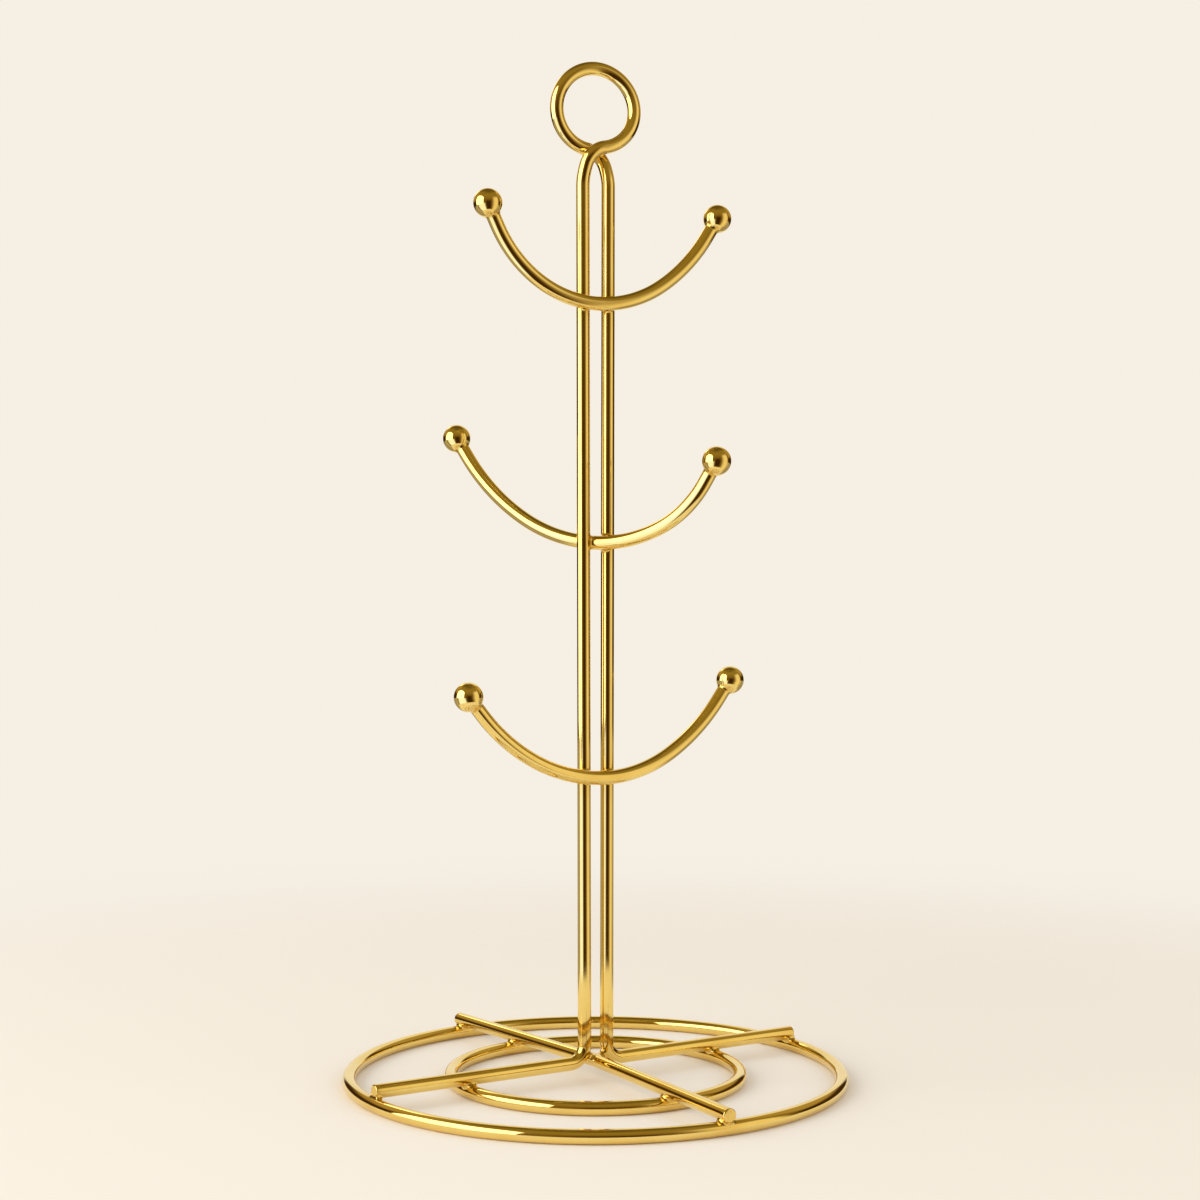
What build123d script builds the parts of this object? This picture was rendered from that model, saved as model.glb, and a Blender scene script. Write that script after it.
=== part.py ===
"""Three-tier jewellery stand bent and welded from round wire.

Two rings lie on the table and a cross of spokes lies over them. One wire makes two opposite spokes,
both uprights and the loop at the top, where it crosses in front of and behind itself. The other two
spokes are one wire, bent slightly at its middle, that runs between the uprights. Three U-bent arms
with ball ends are welded across the uprights, which turn a little about the stand's axis on their
way up.

The stand's axis is Z, the table is Z = 0, the front is -Y and the right-hand side is +X.
Lengths are in millimetres and angles in degrees.
"""

import math
import os

from build123d import *

# Wire and balls
WIRE = 4.0  # diameter of the mast, the spokes and the rings
ARM_WIRE = 4.2  # diameter of the three arms
BALL = 8.5  # diameter of the balls on the arm ends
SET_DOWN = 0.3  # depth to which one wire beds into another where they cross
END_BREAK = 0.4  # small chamfer on the cut ends of the spokes

# Base
OUTER_RING_OUTSIDE = 148.4  # outside diameter of the large ring
INNER_RING_OUTSIDE = 89.0  # outside diameter of the small ring
SPOKE_YAW = 32.5  # direction, seen from the axis, of the end of the mast wire's back-right spoke
SPOKE_OVERHANG = 0.4  # how far the mast wire's spokes run past the middle of the outer ring's wire
CROSS_FRONT_YAW = -61.5  # direction of the front half of the cross spoke
CROSS_BACK_YAW = 126.5  # direction of its back half
CROSS_OVERHANG = 2.4  # how far the cross spoke runs past the middle of the outer ring's wire
CROSS_BEND = 20.0  # radius of the slight bend in the cross spoke's middle

# Mast
HEIGHT = 300.0  # overall height, to the top of the loop
UPRIGHT_GAP = 4.0  # clear space between the two uprights
UPRIGHT_YAW = 36.0  # direction of the plane of the uprights at their feet
FOOT_BEND_INSIDE = 3.0  # inside radius of the bend from an upright into its spoke
LOOP_INSIDE = 19.6  # inside diameter of the top loop
LOOP_YAW = 21.0  # direction of the plane of the top loop
LOOP_GAP = 0.2  # clear space between the two strands where the loop crosses
LOOP_LEAVE = 80.0  # heading, from straight down, at which the wire leaves the loop
NECK_TURN = 12.0  # heading at which the tight bend of the neck meets the wide one
NECK_WIDE_BEND = 30.0  # radius of the wide bend that runs into the upright

# Arms: shift is how far the lowest point of the U lies to the right of the axis. Reach and rise run
# from the lowest point to the ball's middle and slope is that of the tip.
TOP_ARM_DROP = 71.8  # from the top of the stand down to the lowest point of the top arm
TOP_ARM_SHIFT = -0.7
TOP_LEFT_REACH = 34.4
TOP_LEFT_RISE = 26.9
TOP_LEFT_SLOPE = 65.0
TOP_RIGHT_REACH = 38.8
TOP_RIGHT_RISE = 27.6
TOP_RIGHT_SLOPE = 58.0

MIDDLE_ARM_DROP = 70.0  # from the lowest point of the top arm down to that of the middle arm
MIDDLE_ARM_SHIFT = 2.4
MIDDLE_ARM_TURN = -55.0  # turn of the middle arm away from the plane of the uprights
MIDDLE_LEFT_REACH = 50.5
MIDDLE_LEFT_RISE = 32.5
MIDDLE_LEFT_SLOPE = 56.0
MIDDLE_RIGHT_REACH = 36.8
MIDDLE_RIGHT_RISE = 22.9
MIDDLE_RIGHT_SLOPE = 58.5

LOWER_ARM_DROP = 69.0  # from the lowest point of the middle arm down to that of the lower arm
LOWER_ARM_SHIFT = 0.7
LOWER_LEFT_REACH = 44.8
LOWER_LEFT_RISE = 24.7
LOWER_LEFT_SLOPE = 50.0
LOWER_RIGHT_REACH = 44.8
LOWER_RIGHT_RISE = 27.8
LOWER_RIGHT_SLOPE = 53.0

# Arm ends, balls and beads
TIP_STRAIGHT = 7.0  # straight end of an arm, measured back from the ball's middle
TIP_PAST_MIDDLE = 0.6  # how far an arm end runs past the ball's middle
BORE_END_GAP = 0.3  # space left between the arm's end and the bottom of the bore
BRAZE_GAP = 0.05  # space all round an arm in the ball's bore
BRAZE_LEG = 0.8  # length of the braze collar along the arm and along the ball
BEAD = 2.2  # radius of a weld bead between two crossing wires
LOOP_BEAD = 2.4  # radius of the weld bead where the top loop crosses
THREADED_BEAD = 2.6  # radius of a weld bead between the middle arm and an upright
HUB_BEAD = 2.5  # radius of a weld bead between the cross spoke and a foot bend

# Values that follow from the sizes above
WIRE_RADIUS = WIRE / 2
ARM_RADIUS = ARM_WIRE / 2
BALL_RADIUS = BALL / 2
OUTER_RING_RADIUS = OUTER_RING_OUTSIDE / 2 - WIRE_RADIUS
INNER_RING_RADIUS = INNER_RING_OUTSIDE / 2 - WIRE_RADIUS
SPOKE_HEIGHT = WIRE + WIRE_RADIUS - SET_DOWN
SPOKE_LENGTH = OUTER_RING_RADIUS + SPOKE_OVERHANG
CROSS_LENGTH = OUTER_RING_RADIUS + CROSS_OVERHANG
UPRIGHT_OFFSET = (WIRE + UPRIGHT_GAP) / 2
FOOT_BEND = FOOT_BEND_INSIDE + WIRE_RADIUS
LOOP_RADIUS = LOOP_INSIDE / 2 + WIRE_RADIUS
LOOP_MIDDLE = HEIGHT - WIRE_RADIUS - LOOP_RADIUS
STRAND_OFFSET = (WIRE + LOOP_GAP) / 2
TOP_ARM_HEIGHT = HEIGHT - TOP_ARM_DROP
MIDDLE_ARM_HEIGHT = TOP_ARM_HEIGHT - MIDDLE_ARM_DROP
LOWER_ARM_HEIGHT = MIDDLE_ARM_HEIGHT - LOWER_ARM_DROP


def cosine(angle):
    return math.cos(math.radians(angle))


def sine(angle):
    return math.sin(math.radians(angle))


def plan(yaw):
    """Level unit vector at an angle from +X."""
    return Vector(cosine(yaw), sine(yaw), 0)


UP = Vector(0, 0, 1)


def biarc(start, heading, end, end_heading):
    """Two arcs in space that leave start along heading and reach end along end_heading."""
    chord = end - start
    both = heading + end_heading
    along = chord.dot(both)
    spread = 2 * (1 - heading.dot(end_heading))
    if spread < 1e-9:
        reach = chord.dot(chord) / (2 * along)
    else:
        reach = (math.sqrt(along**2 + spread * chord.dot(chord)) - along) / spread
    middle = (start + end + (heading - end_heading) * reach) * 0.5
    return [
        Edge.make_tangent_arc(start, heading, middle),
        Edge.make_tangent_arc(end, end_heading * -1, middle),
    ]


def rod(edges, radius):
    """Round wire of one radius along a smooth chain of edges."""
    path = Wire(edges)
    section = Plane(origin=path @ 0, z_dir=path % 0) * Circle(radius)
    return sweep(section, path=path)


def straight_rod(start, end, radius):
    """Round straight wire between two points."""
    along = end - start
    section = Plane(origin=start, z_dir=along) * Circle(radius)
    return extrude(section, amount=along.length)


def break_end(shape, tip):
    """Chamfer the round edge of the cut end whose middle is at tip."""
    rims = [edge for edge in shape.edges() if (edge.center(CenterOf.MASS) - tip).length < 0.01]
    return chamfer(rims, END_BREAK)


# The mast wire. Its front strand runs from the top of the loop down the right of the loop, crosses in
# front, becomes the left upright and ends as the front-left spoke. The other half is the same shape
# turned half round about the axis. A heading is measured from straight down towards the left.
NECK_TIGHT_BEND = (
    LOOP_RADIUS * cosine(LOOP_LEAVE) + UPRIGHT_OFFSET - NECK_WIDE_BEND * (1 - cosine(NECK_TURN))
) / (cosine(NECK_TURN) - cosine(LOOP_LEAVE))
CROSSING_HEADING = math.degrees(
    math.acos(cosine(LOOP_LEAVE) + LOOP_RADIUS * cosine(LOOP_LEAVE) / NECK_TIGHT_BEND)
)
LOOP_ACROSS = plan(LOOP_YAW)
LOOP_FRONT = plan(LOOP_YAW - 90)

LEAVE_ACROSS = LOOP_RADIUS * cosine(LOOP_LEAVE)
LEAVE_HEIGHT = LOOP_MIDDLE - LOOP_RADIUS * sine(LOOP_LEAVE)
TURN_ACROSS = LEAVE_ACROSS - NECK_TIGHT_BEND * (cosine(NECK_TURN) - cosine(LOOP_LEAVE))
TURN_HEIGHT = LEAVE_HEIGHT - NECK_TIGHT_BEND * (sine(LOOP_LEAVE) - sine(NECK_TURN))
NECK_HEIGHT = TURN_HEIGHT - NECK_WIDE_BEND * sine(NECK_TURN)

LOOP_LENGTH = LOOP_RADIUS * math.radians(90 + LOOP_LEAVE)
CROSSING_LENGTH = LOOP_LENGTH + NECK_TIGHT_BEND * math.radians(LOOP_LEAVE - CROSSING_HEADING)
TURN_LENGTH = LOOP_LENGTH + NECK_TIGHT_BEND * math.radians(LOOP_LEAVE - NECK_TURN)
NECK_LENGTH = TURN_LENGTH + NECK_WIDE_BEND * math.radians(NECK_TURN)
CROSSING_HEIGHT = LEAVE_HEIGHT - NECK_TIGHT_BEND * (sine(LOOP_LEAVE) - sine(CROSSING_HEADING))


def strand_knot(across, height, heading, length):
    """Point and direction of the front strand, which swells forward most where the loop crosses."""
    if length < CROSSING_LENGTH:
        phase = math.pi * length / CROSSING_LENGTH
        slope = STRAND_OFFSET / 2 * math.sin(phase) * math.pi / CROSSING_LENGTH
    else:
        rest = NECK_LENGTH - CROSSING_LENGTH
        phase = math.pi * (NECK_LENGTH - length) / rest
        slope = -STRAND_OFFSET / 2 * math.sin(phase) * math.pi / rest
    forward = STRAND_OFFSET / 2 * (1 - math.cos(phase))
    point = LOOP_ACROSS * across + LOOP_FRONT * forward + UP * height
    direction = LOOP_ACROSS * -sine(heading) + UP * -cosine(heading) + LOOP_FRONT * slope
    return point, direction.normalized()


def loop_knot(heading):
    """Knot on the round part of the loop."""
    across = LOOP_RADIUS * cosine(heading)
    height = LOOP_MIDDLE - LOOP_RADIUS * sine(heading)
    return strand_knot(across, height, heading, LOOP_RADIUS * math.radians(90 + heading))


FOOT = plan(UPRIGHT_YAW) * -UPRIGHT_OFFSET + UP * SPOKE_HEIGHT
NECK = LOOP_ACROSS * -UPRIGHT_OFFSET + UP * NECK_HEIGHT
SPOKE_TIP = plan(SPOKE_YAW) * -SPOKE_LENGTH + UP * SPOKE_HEIGHT
DOWN_UPRIGHT = (FOOT - NECK).normalized()
OUT_SPOKE = (SPOKE_TIP - FOOT).normalized()
FOOT_TANGENT = FOOT_BEND * math.tan(DOWN_UPRIGHT.get_angle(OUT_SPOKE) * math.pi / 360)
BEND_START = FOOT - DOWN_UPRIGHT * FOOT_TANGENT
BEND_END = FOOT + OUT_SPOKE * FOOT_TANGENT


def left_upright(height):
    """Middle of the left upright at a height."""
    return FOOT + (NECK - FOOT) * ((height - SPOKE_HEIGHT) / (NECK_HEIGHT - SPOKE_HEIGHT))


def upright_yaw(height):
    """Direction, from left upright to right, of the plane of the uprights at a height."""
    middle = left_upright(height)
    return math.degrees(math.atan2(-middle.Y, -middle.X))


def mast_path():
    """Edges of the whole mast wire, from the front-left spoke's end to the back-right one's."""
    knots = [
        loop_knot(-90),
        loop_knot(-45),
        loop_knot(0),
        loop_knot(40),
        loop_knot(LOOP_LEAVE),
        strand_knot(0, CROSSING_HEIGHT, CROSSING_HEADING, CROSSING_LENGTH),
        strand_knot(TURN_ACROSS, TURN_HEIGHT, NECK_TURN, TURN_LENGTH),
        (NECK, DOWN_UPRIGHT),
    ]
    half = []
    for (start, heading), (end, end_heading) in zip(knots, knots[1:]):
        half += biarc(start, heading, end, end_heading)
    half += [
        Edge.make_line(NECK, BEND_START),
        Edge.make_tangent_arc(BEND_START, DOWN_UPRIGHT, BEND_END),
        Edge.make_line(BEND_END, SPOKE_TIP),
    ]
    return half + [edge.rotate(Axis.Z, 180) for edge in half]


def tip_heading(yaw, side, slope):
    """Direction of an arm's end: side is -1 for the left and 1 for the right."""
    return plan(yaw) * (side * cosine(slope)) + UP * sine(slope)


def half_arm(low, yaw, side, reach, rise, slope):
    """Edges from the lowest point of an arm to its end inside the ball, and the ball's middle."""
    heading = tip_heading(yaw, side, slope)
    ball = low + plan(yaw) * (side * reach) + UP * rise
    bend_end = ball - heading * TIP_STRAIGHT
    edges = biarc(low, plan(yaw) * side, bend_end, heading)
    edges.append(Edge.make_line(bend_end, ball + heading * TIP_PAST_MIDDLE))
    return edges, ball, heading


def bored_ball(middle, heading):
    """Ball with a blind bore for an arm that arrives along heading."""
    bore_end = middle + heading * (TIP_PAST_MIDDLE + BORE_END_GAP)
    bore_start = middle - heading * (BALL_RADIUS + 1)
    place = Plane(origin=middle, z_dir=heading).location
    return place * Sphere(BALL_RADIUS) - straight_rod(bore_start, bore_end, ARM_RADIUS + BRAZE_GAP)


def braze_ring(middle, heading):
    """Sloped collar in the corner between an arm and its ball, turned about the arm's end."""
    neck = Vector(ARM_RADIUS, 0, -math.sqrt(BALL_RADIUS**2 - ARM_RADIUS**2))
    half_turn = Axis.Y, -math.degrees(BRAZE_LEG / BALL_RADIUS) / 2
    ball_side = neck.rotate(*half_turn)
    on_ball = ball_side.rotate(*half_turn)
    on_arm = neck - UP * BRAZE_LEG
    outline = [
        Edge.make_line(on_arm, neck),
        Edge.make_three_point_arc(neck, ball_side, on_ball),
        Edge.make_line(on_ball, on_arm),
    ]
    ring = revolve(Face(Wire(outline)), axis=Axis.Z)
    return Plane(origin=middle, z_dir=heading).location * ring


def bead(middle, radius, *wires, axis=UP):
    """Rounded weld bead in the corner between crossing wires, its poles along axis."""
    ball = Plane(origin=middle, z_dir=axis).location * Sphere(radius)
    for wire in wires:
        ball -= wire
    return ball


def group(shapes):
    """Separate solids kept together as one node."""
    return Compound(children=[solid for shape in shapes for solid in shape.solids()])


# Base wires
right_tip = SPOKE_TIP.rotate(Axis.Z, 180)
front_tip = plan(CROSS_FRONT_YAW) * CROSS_LENGTH + UP * SPOKE_HEIGHT
back_tip = plan(CROSS_BACK_YAW) * CROSS_LENGTH + UP * SPOKE_HEIGHT
spoke_crossing = UP * SPOKE_HEIGHT
left_spoke = straight_rod(BEND_END, SPOKE_TIP, WIRE_RADIUS)
right_spoke = left_spoke.rotate(Axis.Z, 180)
cross_path = FilletPolyline(front_tip, spoke_crossing, back_tip, radius=CROSS_BEND)
cross_bar = rod(cross_path.edges(), WIRE_RADIUS)
outer_torus = Pos(0, 0, WIRE_RADIUS) * Torus(OUTER_RING_RADIUS, WIRE_RADIUS)
inner_torus = Pos(0, 0, WIRE_RADIUS) * Torus(INNER_RING_RADIUS, WIRE_RADIUS)
outer_base_ring = outer_torus - left_spoke - right_spoke - cross_bar
inner_base_ring = inner_torus - left_spoke - right_spoke - cross_bar
cross_spoke = break_end(break_end(cross_bar, front_tip), back_tip)

# Arms: the top and lower ones lie against the front of both uprights, the middle one runs between them
IN_FRONT = WIRE_RADIUS + ARM_RADIUS - SET_DOWN
top_yaw = upright_yaw(TOP_ARM_HEIGHT)
middle_yaw = upright_yaw(MIDDLE_ARM_HEIGHT) + MIDDLE_ARM_TURN
lower_yaw = upright_yaw(LOWER_ARM_HEIGHT)
top_front = plan(top_yaw - 90)
lower_front = plan(lower_yaw - 90)
top_low = top_front * IN_FRONT + plan(top_yaw) * TOP_ARM_SHIFT + UP * TOP_ARM_HEIGHT
middle_low = plan(middle_yaw) * MIDDLE_ARM_SHIFT + UP * MIDDLE_ARM_HEIGHT
lower_low = lower_front * IN_FRONT + plan(lower_yaw) * LOWER_ARM_SHIFT + UP * LOWER_ARM_HEIGHT

top_left = half_arm(top_low, top_yaw, -1, TOP_LEFT_REACH, TOP_LEFT_RISE, TOP_LEFT_SLOPE)
top_right = half_arm(top_low, top_yaw, 1, TOP_RIGHT_REACH, TOP_RIGHT_RISE, TOP_RIGHT_SLOPE)
middle_left = half_arm(
    middle_low, middle_yaw, -1, MIDDLE_LEFT_REACH, MIDDLE_LEFT_RISE, MIDDLE_LEFT_SLOPE
)
middle_right = half_arm(
    middle_low, middle_yaw, 1, MIDDLE_RIGHT_REACH, MIDDLE_RIGHT_RISE, MIDDLE_RIGHT_SLOPE
)
lower_left = half_arm(lower_low, lower_yaw, -1, LOWER_LEFT_REACH, LOWER_LEFT_RISE, LOWER_LEFT_SLOPE)
lower_right = half_arm(lower_low, lower_yaw, 1, LOWER_RIGHT_REACH, LOWER_RIGHT_RISE, LOWER_RIGHT_SLOPE)

top_arm = rod(top_left[0] + top_right[0], ARM_RADIUS)
middle_arm = rod(middle_left[0] + middle_right[0], ARM_RADIUS)
lower_arm = rod(lower_left[0] + lower_right[0], ARM_RADIUS)

# The mast wire, bedded against the arms that cross it
mast_wire = rod(mast_path(), WIRE_RADIUS)
mast_loop = break_end(break_end(mast_wire, SPOKE_TIP), right_tip)
mast_loop = mast_loop - top_arm - middle_arm - lower_arm

# Weld beads
ring_top = WIRE - SET_DOWN / 2


def on_ring(start, tip, radius):
    """Point over the middle of a ring's wire on a level spoke that runs from start to tip."""
    along = (tip - start).normalized()
    foot = start - along * start.dot(along)
    level = Vector(foot.X, foot.Y, 0)
    return level + along * math.sqrt(radius**2 - level.length**2) + UP * ring_top


outer_beads = []
inner_beads = []
for start, tip, wire in (
    (BEND_END, SPOKE_TIP, left_spoke),
    (BEND_END.rotate(Axis.Z, 180), right_tip, right_spoke),
    (spoke_crossing, front_tip, cross_bar),
    (spoke_crossing, back_tip, cross_bar),
):
    outer_beads.append(bead(on_ring(start, tip, OUTER_RING_RADIUS), BEAD, outer_torus, wire))
    inner_beads.append(bead(on_ring(start, tip, INNER_RING_RADIUS), BEAD, inner_torus, wire))

square_to_spoke = OUT_SPOKE * DOWN_UPRIGHT.dot(OUT_SPOKE) - DOWN_UPRIGHT
bend_middle = BEND_END + square_to_spoke.normalized() * FOOT_BEND
towards_bend = (bend_middle - spoke_crossing).normalized()
bend_gap = (bend_middle - spoke_crossing).length - FOOT_BEND
left_hub_spot = spoke_crossing + towards_bend * (bend_gap / 2)
right_hub_spot = left_hub_spot.rotate(Axis.Z, 180)
hub_spots = [left_hub_spot, right_hub_spot]
hub_beads = [bead(spot, HUB_BEAD, mast_wire, cross_bar) for spot in hub_spots]


def front_arm_beads(height, front, arm):
    """Beads between both uprights and an arm that lies against their front."""
    left = left_upright(height)
    right = left.rotate(Axis.Z, 180)
    spots = [side + front * (WIRE_RADIUS - SET_DOWN / 2) for side in (left, right)]
    return [bead(spot, BEAD, mast_wire, arm) for spot in spots]


def threaded_arm_beads():
    """Beads between both uprights and the middle arm, which runs behind the left one."""
    left = left_upright(MIDDLE_ARM_HEIGHT)
    along = plan(middle_yaw)
    on_arm = along * left.dot(along) + UP * MIDDLE_ARM_HEIGHT
    apart = left - on_arm
    bedded = ARM_RADIUS + WIRE_RADIUS - apart.length
    left_spot = on_arm + apart.normalized() * (ARM_RADIUS - bedded / 2)
    spots = [left_spot, left_spot.rotate(Axis.Z, 180)]
    return [bead(spot, THREADED_BEAD, mast_wire, middle_arm) for spot in spots]


loop_weld = bead(UP * CROSSING_HEIGHT, LOOP_BEAD, mast_wire, axis=LOOP_FRONT)

nodes = {
    "outer_base_ring": outer_base_ring,
    "inner_base_ring": inner_base_ring,
    "mast_loop": mast_loop,
    "cross_spoke": cross_spoke,
    "top_arm": top_arm,
    "middle_arm": middle_arm,
    "lower_arm": lower_arm,
    "loop_weld": loop_weld,
    "top_arm_welds": group(front_arm_beads(TOP_ARM_HEIGHT, top_front, top_arm)),
    "middle_arm_welds": group(threaded_arm_beads()),
    "lower_arm_welds": group(front_arm_beads(LOWER_ARM_HEIGHT, lower_front, lower_arm)),
    "hub_welds": group(hub_beads),
    "outer_ring_welds": group(outer_beads),
    "inner_ring_welds": group(inner_beads),
}

ends = {
    "top_left": top_left,
    "top_right": top_right,
    "middle_left": middle_left,
    "middle_right": middle_right,
    "lower_left": lower_left,
    "lower_right": lower_right,
}
for name, (edges, middle, heading) in ends.items():
    nodes[name + "_ball"] = bored_ball(middle, heading)
braze_rings = [braze_ring(middle, heading) for edges, middle, heading in ends.values()]
nodes["ball_braze_rings"] = group(braze_rings)

os.makedirs("parts", exist_ok=True)
for name, shape in nodes.items():
    export_step(shape, f"parts/{name}.step")
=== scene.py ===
"""Looks of a three-tier wire jewellery stand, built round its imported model.

Each wire is a circle carried along a line of straight runs and arcs, each ball is a turned profile, and
each weld is the hollow that a small ball leaves as it rolls round the corner between two wires.
Lengths are in metres. The stand's axis is Z, the table is Z = 0, the front is -Y and the right is +X.
"""

import math
from typing import NamedTuple

import bpy
import numpy as np
from bpy.props import FloatProperty, FloatVectorProperty, PointerProperty
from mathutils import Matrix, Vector


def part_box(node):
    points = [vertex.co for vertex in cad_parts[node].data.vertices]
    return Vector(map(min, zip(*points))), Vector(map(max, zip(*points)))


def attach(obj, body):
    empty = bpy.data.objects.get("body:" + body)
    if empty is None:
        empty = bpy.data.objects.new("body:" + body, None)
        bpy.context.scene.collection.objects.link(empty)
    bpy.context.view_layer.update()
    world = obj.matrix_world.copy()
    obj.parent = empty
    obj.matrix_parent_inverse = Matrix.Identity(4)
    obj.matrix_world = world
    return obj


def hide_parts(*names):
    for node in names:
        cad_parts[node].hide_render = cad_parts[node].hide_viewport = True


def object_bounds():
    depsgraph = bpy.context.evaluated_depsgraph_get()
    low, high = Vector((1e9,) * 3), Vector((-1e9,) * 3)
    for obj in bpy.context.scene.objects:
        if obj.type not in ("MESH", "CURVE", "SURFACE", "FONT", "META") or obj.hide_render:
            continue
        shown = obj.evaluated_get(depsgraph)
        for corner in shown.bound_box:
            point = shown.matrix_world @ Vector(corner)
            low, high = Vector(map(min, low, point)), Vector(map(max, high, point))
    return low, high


bl_info = {
    "name": "Wire Jewellery Stand",
    "version": (1, 0, 0),
    "blender": (4, 5, 0),
    "location": "3D View > Sidebar > Stand",
    "description": "Builds a gold-plated wire jewellery stand and the small studio it is shown in",
    "category": "Add Mesh",
}

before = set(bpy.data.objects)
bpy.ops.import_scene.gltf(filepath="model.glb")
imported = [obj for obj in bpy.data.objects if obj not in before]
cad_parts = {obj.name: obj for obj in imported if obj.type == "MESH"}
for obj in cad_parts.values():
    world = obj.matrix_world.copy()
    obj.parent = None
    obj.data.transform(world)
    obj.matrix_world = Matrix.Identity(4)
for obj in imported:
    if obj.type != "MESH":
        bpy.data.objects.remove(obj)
cad_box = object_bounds()

MM = 0.001
BODY = "root"
UP = np.array([0.0, 0.0, 1.0])
ALONG_X = np.array([1.0, 0.0, 0.0])
TIERS = ("top", "middle", "lower")
SIDES = ("left", "right")

# Fineness of the surfaces
STRAIGHT_STEP = 2.0 * MM
ARC_STEP = 0.5 * MM
RING_STATIONS = 480
WIRE_COLUMNS = 48
CUT_ROWS = 7
FACE_ROWS = 5
BALL_COLUMNS = 72
BALL_ROWS = 48
WELD_STATIONS = 96
WELD_COLUMNS = 12
FLOOR_POINTS = 41
TENT_ROWS = 40
TENT_COLUMNS = 181
UV_MARGIN = 0.02

# Headings, in degrees from straight down, of the points that pin the round part of the top loop
LOOP_KNOTS = (-90.0, -45.0, 0.0, 40.0)

# Below these an arc counts as straight, and two headings as the same
LEAST_BEND = 1e-4
LEAST_SPREAD = 1e-9

# A turned piece counts its angle from X if its axis is steeper than this, and a weld if its normal is less
# along X than this
STEEP = 0.5
NEAR_X = 0.8

# Search for the path of the ball that rolls round a weld
NEARBY = 14.0 * MM
PAST_CUT = 1e3
FIRST_REACH = 2.2
FIRST_WIRE = 2.0 * MM
NEWTON_STEPS = 25
LONGEST_STEP = 0.5 * MM
SLOPE_STEP = 1e-7
LARGEST_MISS = 0.02 * MM

# Unevenness of the welds, and how far out from the contact their hidden heart lies
FIRST_PHASE = 1.0
NEXT_PHASE = 1.7
SECOND_WAVE = 0.6
HEART = 0.3

# Fineness of the finish, in marks per metre: along the wire and across it, or the same all round
DRAWN_LINES = (16.0, 1900.0, 1900.0)
BENDING_WAVES = (42.0, 160.0, 160.0)
SAW_MARKS = (200.0, 700.0, 9000.0)
WIRE_SMUDGES = (70.0,) * 3
BALL_SMUDGES = (160.0,) * 3
BALL_WAVES = (320.0,) * 3
BALL_GRAIN = (2600.0,) * 3
WELD_RIPPLES = (850.0,) * 3
WELD_PITS = (3800.0,) * 3

# Values of those noises between which a tint, a warmth or a roughness changes, and the share of the warmth
WHOLE = (0.0, 1.0)
TONE_NOISE = (0.3, 0.7)
WARM_NOISE = (0.25, 0.75)
WARM_SHARE = (0.35, 0.9)
SMUDGE_NOISE = (0.45, 0.75)
LINE_NOISE = (0.35, 0.75)
SAW_NOISE = (0.3, 0.7)
PIT_NOISE = (0.4, 0.8)

# Height of the relief in the finish
WAVE_HEIGHT = 0.024 * MM
LINE_HEIGHT = 0.002 * MM
SAW_HEIGHT = 0.012 * MM
BALL_WAVE_HEIGHT = 0.012 * MM
GRAIN_HEIGHT = 0.003 * MM
RIPPLE_HEIGHT = 0.08 * MM
PIT_HEIGHT = 0.01 * MM

# Roughness: its range as shares of a finish's own, and what lines, heat and saw marks add
WIRE_ROUGH = (0.8, 1.6)
BALL_ROUGH = (0.8, 1.8)
WELD_ROUGH = (0.8, 1.6)
LINE_ROUGH = 0.035
HEAT_ROUGH = 0.06
SAW_ROUGH = (0.12, 0.26)

# A cut end is matt out to the first radius, and polished from the second
CUT_EDGE = (1.45 * MM, 1.70 * MM)

# Soft edges of the painted reflections in the tent's glow, in degrees: a turn from the front to the right,
# a side to either hand, and a rise from the camera's level. Two values are one edge, and four are both
# edges of a band.
ROOF_RISE = (10.0, 50.0)
OVERHEAD_RISE = (56.0, 90.0)
BACK_ROOF_SIDE = (95.0, 120.0)
BACK_ROOF_RISE = (50.0, 64.0)
ROOF_SHADE = 0.55
LIT_TURN = (32.0, 62.0, 84.0, 95.0)
LIT_RISE = (28.0, 46.0)
LOFT_SIDE = (98.0, 112.0)
LOFT_RISE = (6.0, 18.0, 42.0, 58.0)
STRIP_TURN = (-160.0, -156.0, -147.0, -143.0)
STRIP_RISE = (25.0, 28.0, 38.0, 42.0)
BELOW_RISE = (-6.0, -5.0)
SHEEN_TURN = (-86.0, -70.0, -30.0, -14.0)
FRONT_TURN = (-23.0, -2.0, 18.0, 38.0)
FRONT_RISE = (2.0, 26.0)
WING_SIDE = (93.0, 103.0)
WING_RISE = (8.0, 22.0)
BACK_SIDE = (150.0, 157.0)
BACK_RISE = (40.0, 50.0)
APRON_SIDE = (88.0, 100.0)
APRON_RISE = (-41.0, -37.0)
SKIRT_SIDE = (92.0, 104.0, 150.0, 157.0)
SKIRT_RISE = (-49.0, -40.0)
SKIRT_SHARE = 0.6


def box_size(node):
    """Width, depth and height of a node."""
    low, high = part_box(node)
    return np.array(high - low)


def box_middle(node):
    """Middle of a node's box."""
    low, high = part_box(node)
    return np.array(low + high) / 2


def length(name, default, description):
    """Property for a length in metres."""
    return FloatProperty(name=name, description=description, default=default, unit="LENGTH", precision=5)


def angle(name, degrees, description):
    """Property for an angle, whose default is given in degrees."""
    return FloatProperty(name=name, description=description, default=math.radians(degrees), subtype="ANGLE")


def factor(name, default, description):
    """Property for a share or a strength."""
    return FloatProperty(name=name, description=description, default=default, min=0.0, subtype="FACTOR")


def colour(name, default, description):
    """Property for a linear colour."""
    return FloatVectorProperty(name=name, description=description, default=default, size=3, subtype="COLOR")


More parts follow.
